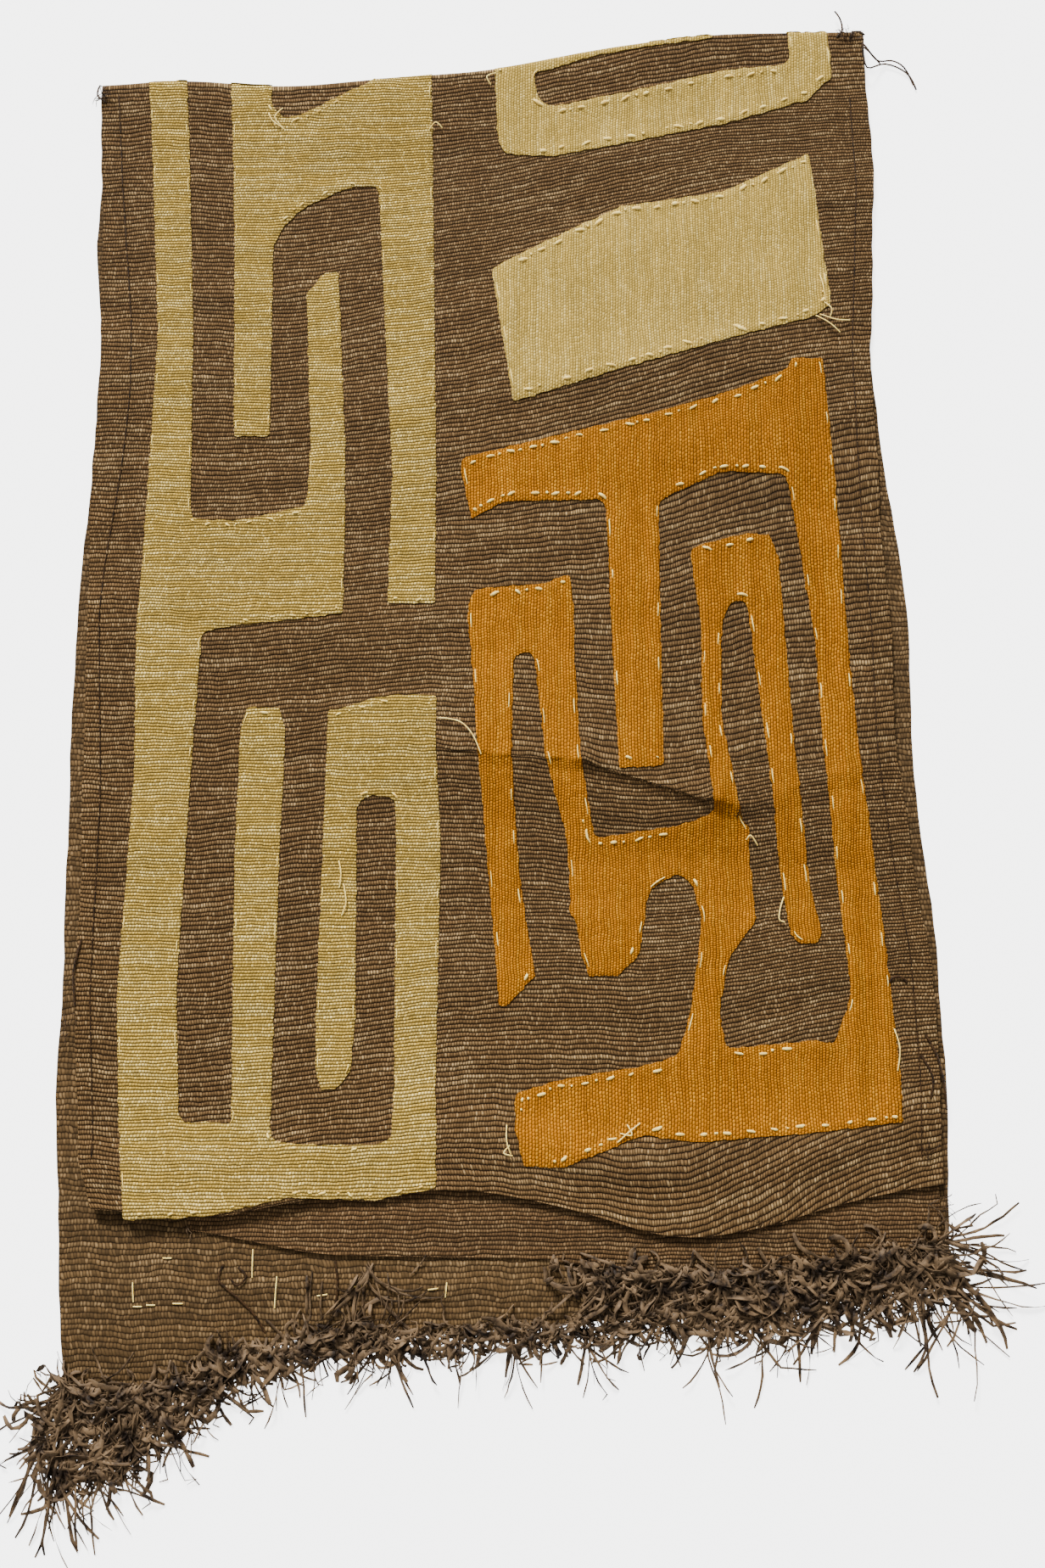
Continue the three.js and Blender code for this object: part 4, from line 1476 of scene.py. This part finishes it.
def weave_material(name, group, weave, rib, colours):
    """A raffia weave's material: its ribs, painted shade in its gaps, light strands with painted
    highlights, uneven dye, broad tone with painted light and shade, and bump.
    """
    material, shader = new_material(name)
    vector = shader.add("ShaderNodeUVMap", uv_map="weave").outputs[0]
    given = (vector, rib, weave.cross * MM, weave.uneven)
    woven = shader.add("ShaderNodeGroup", enumerate(given), node_tree=group)
    out = {socket.name: Value(shader, socket) for socket in woven.outputs}
    dark, mid, light = ((*colour, 1) for colour in colours)
    # The gaps between ribs and the slits between crossing strands are painted darker: painted
    # shade in the weave's hollows
    gap = (1 - out["Rib"]) ** weave.sharp
    slit = (1 - out["Cross"]) ** weave.sharp * out["Cell Chance"].spread(0.35, 1.35)
    shade = shader.value("ShaderNodeClamp", ((0, gap * weave.gap + slit * weave.slit),))
    colour = shader.mix(shade, mid, dark)
    # Light strands, in runs and alone, each painted brightest at its crown: real lighter strands
    # with a painted highlight
    lit = shader.span(out["Segment"], weave.bead_from, weave.bead_from + RUN_SOFT)
    lit = lit.spread(0.05, 0.85)
    sparks = (out["Cell Chance"] ** SPARK_RARE).spread(0, 0.5)
    bead = out["Cross"] ** BEAD_ROUND * out["Rib"] * out["Cell Chance"].spread(0.3, 1)
    colour = shader.mix(lit.math("MAXIMUM", sparks) * bead * weave.bead, colour, light)
    cells = out["Cell Chance"].spread(1 - weave.vary / 2, 1 + weave.vary / 2)
    rows = out["Row Chance"].spread(1 - weave.vary / 4, 1 + weave.vary / 4)
    fibres = out["Fibre"].spread(0.75, 1.25)
    streaks = shader.noise(shader.stretched(vector, *STREAK_SCALES), 1, 3) * STREAK_SHOWS
    patchy = shader.noise(vector, PATCHY_SCALE, 2) * PATCHY_SHOWS
    # Broad tone from the mesh, with painted light and painted shade in some places
    broad = shader.value("ShaderNodeAttribute", (), "Fac", attribute_name="dye")
    tone = (streaks + patchy + PLAIN_TONE) * cells * rows * fibres * broad
    grey = shader.add("ShaderNodeCombineColor", ((0, tone), (1, tone), (2, tone))).outputs[0]
    colour = shader.mix(1.0, colour, grey, "MULTIPLY")
    shader.finish(
        colour, out["Fibre"].spread(0.75, 0.95), out["Height"], specular=0.08, strength=0.9,
        depth=weave.depth * MM,
    )
    return material


def strand_material(name, dark, light, scale):
    """A bare raffia strand: streaked, and darker in places."""
    material, shader = new_material(name)
    place = shader.add("ShaderNodeTexCoord").outputs["Object"]
    tone = shader.span(shader.noise(place, scale, 3, 0.6), 0.36, 0.64)
    colour = shader.mix(tone, (*dark, 1), (*light, 1))
    grain = shader.noise(place, GRAIN_SCALE, 2)
    shader.finish(colour, 0.6, grain, specular=0.12, strength=0.5, depth=GRAIN_HIGH)
    return material


# How each weave differs: spacing of its crossing strands in mm, how uneven it runs, how dark the
# painted shade in its gaps and slits is and how sharp, how bright and common its light strands
# and their painted highlights are, how much its cells vary in tone, and its depth in mm
Weave = namedtuple("Weave", "cross uneven gap slit sharp bead bead_from vary depth")
WEAVES = {
    "brown": Weave(2.0, 0.75, 1.15, 1.0, 2.2, 0.9, 0.52, 0.6, 1.1),
    "wrong_side": Weave(2.3, 1.1, 0.8, 0.85, 2.2, 0.7, 0.5, 0.75, 0.6),
    "border": Weave(2.0, 0.8, 1.0, 0.95, 2.2, 0.8, 0.52, 0.65, 0.8),
    "cream": Weave(2.2, 0.55, 1.4, 0.8, 3, 1.0, 0.46, 0.45, 1.1),
    "pale": Weave(2.4, 0.5, 0.95, 0.55, 3, 0.9, 0.48, 0.35, 0.7),
    "orange": Weave(2.2, 0.6, 1.4, 0.8, 3, 0.75, 0.48, 0.4, 0.8),
}
# Scales of the streaks and patches of dye on a weave, how much they show, and the tone below them
STREAK_SCALES = (9, 60)
STREAK_SHOWS = 0.34
PATCHY_SCALE = 11
PATCHY_SHOWS = 0.3
PLAIN_TONE = 0.68
# How softly a run of light strands ends, how rare a lone light one is, and how round the painted
# highlight on each is
RUN_SOFT = 0.16
SPARK_RARE = 7
BEAD_ROUND = 1.4
# Scales of the streaks on threads and on fringe strands, and of the grain that stands up
THREAD_STREAKS = 300
STRAND_STREAKS = 100
GRAIN_SCALE = 2200
GRAIN_HIGH = 0.0003


def look(name):
    """The material of one kind of raffia, made when it is first asked for."""
    title = f"{name}_finish"
    if title in bpy.data.materials:
        return bpy.data.materials[title]
    colours = bpy.context.scene.raffia_colours
    dark = getattr(colours, f"{name}_dark")
    light = getattr(colours, f"{name}_light")
    if name not in WEAVES:
        scale = STRAND_STREAKS if name == "fringe" else THREAD_STREAKS
        return strand_material(title, dark, light, scale)
    group = bpy.data.node_groups.get("raffia_weave") or weave_group()
    rib = getattr(bpy.context.scene.raffia_sizes, f"{name}_rib")
    tones = (dark, getattr(colours, f"{name}_mid"), light)
    return weave_material(title, group, WEAVES[name], rib, tones)


def build_stage():
    """The floor, the lights and the camera."""
    studio = bpy.context.scene.raffia_studio
    built = bmesh.new()
    bmesh.ops.create_grid(built, x_segments=1, y_segments=1, size=FLOOR_HALF)
    material = bpy.data.materials.new("floor_white")
    material.use_nodes = True
    surface = material.node_tree.nodes["Principled BSDF"]
    surface.inputs["Base Color"].default_value = (*studio.floor_colour, 1)
    surface.inputs["Roughness"].default_value = 0.9
    surface.inputs["Emission Color"].default_value = (1, 1, 1, 1)
    surface.inputs["Emission Strength"].default_value = studio.floor_glow
    add_piece("floor", sheet_mesh("floor", built), material)
    world = bpy.data.worlds.new("soft_light")
    world.use_nodes = True
    sky = world.node_tree.nodes["Background"]
    sky.inputs["Color"].default_value = (1, 1, 1, 1)
    sky.inputs["Strength"].default_value = studio.sky_bright
    bpy.context.scene.world = world
    window = bpy.data.lights.new("window", "SUN")
    window.energy = studio.window_power
    window.angle = studio.window_soft
    aim(window, WINDOW_PLACE, (0, 0, 0))
    camera = bpy.data.cameras.new("camera")
    camera.lens = studio.lens
    camera.sensor_width = SENSOR_WIDE
    bpy.context.scene.camera = aim(camera, CAMERA_PLACE, CAMERA_AIM)


def aim(data, place, toward):
    """Puts a light or a camera at a place, and turns it toward another."""
    holder = add_piece(data.name, data)
    holder.location = place
    way = Vector(toward) - Vector(place)
    holder.rotation_euler = way.to_track_quat("-Z", "Y").to_euler()
    return holder


def amount(name, words, default, low, high, **kind):
    """A property for a number. kind gives its unit or subtype, where one fits."""
    return bpy.props.FloatProperty(
        name=name, description=words, default=default, min=low, max=high, **kind
    )


def length(name, words, default):
    """A property for a length in metres."""
    return amount(name, words, default, 0.0001, 0.02, precision=4, unit="LENGTH")


def colour(name, words, red, green, blue):
    """A property for a colour, given in 0 to 255 as the eye sees it."""
    return bpy.props.FloatVectorProperty(
        name=name, description=words, default=linear(red, green, blue), min=0, max=1, size=3,
        subtype="COLOR",
    )


class RaffiaSizes(bpy.types.PropertyGroup):
    """Sizes of the sheets, ribs, stitches and strands."""

    cloth_thick: length("Cloth Thickness", "Thickness of the woven cloth", 0.0011)
    patch_thick: length("Patch Thickness", "Thickness of the sewn-on patches", 0.0007)
    brown_rib: length("Cloth Ribs", "Rib spacing of the cloth's right side", 0.0034)
    wrong_side_rib: length("Under Layer Ribs", "Rib spacing of the cloth's wrong side", 0.0039)
    border_rib: length("Border Ribs", "Rib spacing of the border strip", 0.0029)
    cream_rib: length("Cream Ribs", "Rib spacing of the cream patches", 0.0023)
    pale_rib: length("Pale Ribs", "Rib spacing of the pale patches", 0.0021)
    orange_rib: length("Orange Ribs", "Rib spacing of the orange patch", 0.00215)
    stitch_wide: length("Stitch Width", "Width of the widest stitches", 0.002)
    strand_wide: length("Strand Width", "Width of a fringe strand of the plain kind", 0.002)
    fringe_full: amount(
        "Fringe Fullness", "How many strands the fringes have, as a share", 1, 0.1, 1.3,
        subtype="FACTOR",
    )


class RaffiaColours(bpy.types.PropertyGroup):
    """Colours of each kind of raffia: its gaps, its ribs and its light strands."""

    brown_dark: colour("Cloth Gaps", "Gaps between the ribs of the cloth", 28, 16, 6)
    brown_mid: colour("Cloth", "Ribs of the cloth's right side", 97, 73, 44)
    brown_light: colour("Cloth Light", "Light strands of the cloth", 168, 141, 97)
    wrong_side_dark: colour("Under Gaps", "Gaps of the cloth's wrong side", 28, 18, 8)
    wrong_side_mid: colour("Under Layer", "Ribs of the cloth's wrong side", 84, 64, 39)
    wrong_side_light: colour("Under Light", "Light strands of the wrong side", 138, 114, 80)
    border_dark: colour("Border Gaps", "Gaps of the border strip", 28, 18, 8)
    border_mid: colour("Border", "Ribs of the border strip", 84, 62, 38)
    border_light: colour("Border Light", "Light strands of the border strip", 136, 112, 78)
    cream_dark: colour("Cream Gaps", "Gaps of the cream patches", 84, 60, 12)
    cream_mid: colour("Cream", "Ribs of the cream patches", 172, 141, 62)
    cream_light: colour("Cream Light", "Light strands of the cream patches", 238, 216, 138)
    pale_dark: colour("Pale Gaps", "Gaps of the pale patches", 96, 70, 18)
    pale_mid: colour("Pale", "Ribs of the pale patches", 188, 157, 74)
    pale_light: colour("Pale Light", "Light strands of the pale patches", 236, 212, 134)
    orange_dark: colour("Orange Gaps", "Gaps of the orange patch", 68, 30, 0)
    orange_mid: colour("Orange", "Ribs of the orange patch", 168, 103, 4)
    orange_light: colour("Orange Light", "Light strands of the orange patch", 210, 150, 36)
    thread_dark: colour("Thread Shade", "Darker parts of the stitches", 236, 192, 92)
    thread_light: colour("Thread", "Lighter parts of the stitches", 255, 232, 140)
    fringe_dark: colour("Fringe Shade", "Darker parts of the fringe", 28, 19, 11)
    fringe_light: colour("Fringe", "Lighter parts of the fringe", 106, 85, 61)
    dark_thread_dark: colour("Brown Thread Shade", "Darker parts of brown threads", 18, 10, 4)
    dark_thread_light: colour("Brown Thread", "Lighter parts of brown threads", 60, 40, 20)


class StudioSettings(bpy.types.PropertyGroup):
    """The floor, light and lens of the stage."""

    floor_colour: colour("Floor", "Colour of the floor", 243, 243, 242)
    floor_glow: amount("Floor Glow", "Light that the pale floor gives off", 3.2, 0, 6)
    sky_bright: amount("Room Light", "Strength of the light from all around", 0.62, 0, 3)
    window_power: amount("Window Light", "Strength of the light from one side", 9.5, 0, 30)
    window_soft: amount(
        "Window Softness", "How wide the light from one side is", math.radians(16), 0, math.pi,
        subtype="ANGLE", unit="ROTATION",
    )
    lens: amount(
        "Lens", "Focal length of the camera", 34.58, 10, 200, subtype="DISTANCE_CAMERA",
        unit="CAMERA",
    )


def build_patches(*names):
    """Some of the patches, with their stitches. Each patch keeps its own seed."""
    for seed, patch in enumerate(PATCHES):
        if patch.name in names:
            build_patch(patch, seed)


class RAFFIA_OT_cloth(bpy.types.Operator):
    """Make the folded brown cloth, with its right side on top and its wrong side below"""

    bl_idname = "raffia.cloth"
    bl_label = "Folded Cloth"

    def execute(self, context):
        build_cloth()
        return {"FINISHED"}


class RAFFIA_OT_border_strip(bpy.types.Operator):
    """Make the border strip under the upper layer's lower edge"""

    bl_idname = "raffia.border_strip"
    bl_label = "Border Strip"

    def execute(self, context):
        build_strip()
        return {"FINISHED"}


class RAFFIA_OT_cream_patches(bpy.types.Operator):
    """Make the two cream patches of the left half, with their stitches"""

    bl_idname = "raffia.cream_patches"
    bl_label = "Cream Patches"

    def execute(self, context):
        build_patches("cream_left", "cream_middle")
        return {"FINISHED"}


class RAFFIA_OT_pale_patches(bpy.types.Operator):
    """Make the pale ring and block near the fold, with their stitches"""

    bl_idname = "raffia.pale_patches"
    bl_label = "Pale Patches"

    def execute(self, context):
        build_patches("cream_ring", "cream_block")
        return {"FINISHED"}


class RAFFIA_OT_orange_patch(bpy.types.Operator):
    """Make the orange patch of the right half, with its stitches"""

    bl_idname = "raffia.orange_patch"
    bl_label = "Orange Patch"

    def execute(self, context):
        build_patches("orange")
        return {"FINISHED"}


class RAFFIA_OT_fringes(bpy.types.Operator):
    """Make the two fringes: the under layer's and the border strip's"""

    bl_idname = "raffia.fringes"
    bl_label = "Fringes"

    def execute(self, context):
        build_fringe(
            "under_strands", "under_fringe", UNDER_FRINGE, UNDER_FANS, under_root, under_rest, 5
        )
        build_fringe(
            "upper_strands", "upper_fringe", UPPER_FRINGE, UPPER_FANS, upper_root, upper_rest, 9
        )
        return {"FINISHED"}


class RAFFIA_OT_threads(bpy.types.Operator):
    """Make the loose threads, the frayed ends and the stitches of the side hems"""

    bl_idname = "raffia.threads"
    bl_label = "Loose Threads"

    def execute(self, context):
        build_threads()
        return {"FINISHED"}


class RAFFIA_OT_stage(bpy.types.Operator):
    """Make the floor, the lights and the camera"""

    bl_idname = "raffia.stage"
    bl_label = "Stage"

    def execute(self, context):
        build_stage()
        return {"FINISHED"}


PIECE_OPERATORS = (
    RAFFIA_OT_cloth,
    RAFFIA_OT_border_strip,
    RAFFIA_OT_cream_patches,
    RAFFIA_OT_pale_patches,
    RAFFIA_OT_orange_patch,
    RAFFIA_OT_fringes,
    RAFFIA_OT_threads,
    RAFFIA_OT_stage,
)
SETTINGS = {
    "raffia_sizes": RaffiaSizes,
    "raffia_colours": RaffiaColours,
    "raffia_studio": StudioSettings,
}


class RAFFIA_PT_cloth(bpy.types.Panel):
    """The settings of the cloth and the buttons that make its pieces"""

    bl_idname = "RAFFIA_PT_cloth"
    bl_label = "Raffia Cloth"
    bl_space_type = "VIEW_3D"
    bl_region_type = "UI"
    bl_category = "Raffia Cloth"

    def draw(self, context):
        for operator in PIECE_OPERATORS:
            self.layout.operator(operator.bl_idname)
        for name, group in SETTINGS.items():
            box = self.layout.box()
            for row in group.__annotations__:
                box.prop(getattr(context.scene, name), row)


def register():
    """Adds the settings, the operators and the panel to Blender."""
    for kind in (*SETTINGS.values(), *PIECE_OPERATORS, RAFFIA_PT_cloth):
        bpy.utils.register_class(kind)
    for name, group in SETTINGS.items():
        setattr(bpy.types.Scene, name, bpy.props.PointerProperty(type=group))


def unregister():
    """Takes the settings, the operators and the panel out of Blender."""
    for name in SETTINGS:
        delattr(bpy.types.Scene, name)
    for kind in (RAFFIA_PT_cloth, *reversed(PIECE_OPERATORS), *SETTINGS.values()):
        bpy.utils.unregister_class(kind)


def declare_cloth():
    """Lists the names of the pieces that lie on the folded cloth; nothing uses the list."""
    names = ["hem_strip", "under_strands", "upper_strands", "cream_threads", "brown_threads"]
    names += ["seam_threads", *(f"{patch.name}_applique" for patch in PATCHES)]


def main():
    """Registers the add-on, and makes every piece and the stage."""
    register()
    bpy.ops.raffia.cloth()
    bpy.ops.raffia.border_strip()
    bpy.ops.raffia.cream_patches()
    bpy.ops.raffia.pale_patches()
    bpy.ops.raffia.orange_patch()
    bpy.ops.raffia.fringes()
    bpy.ops.raffia.threads()
    bpy.ops.raffia.stage()
    declare_cloth()


if __name__ == "__main__":
    main()
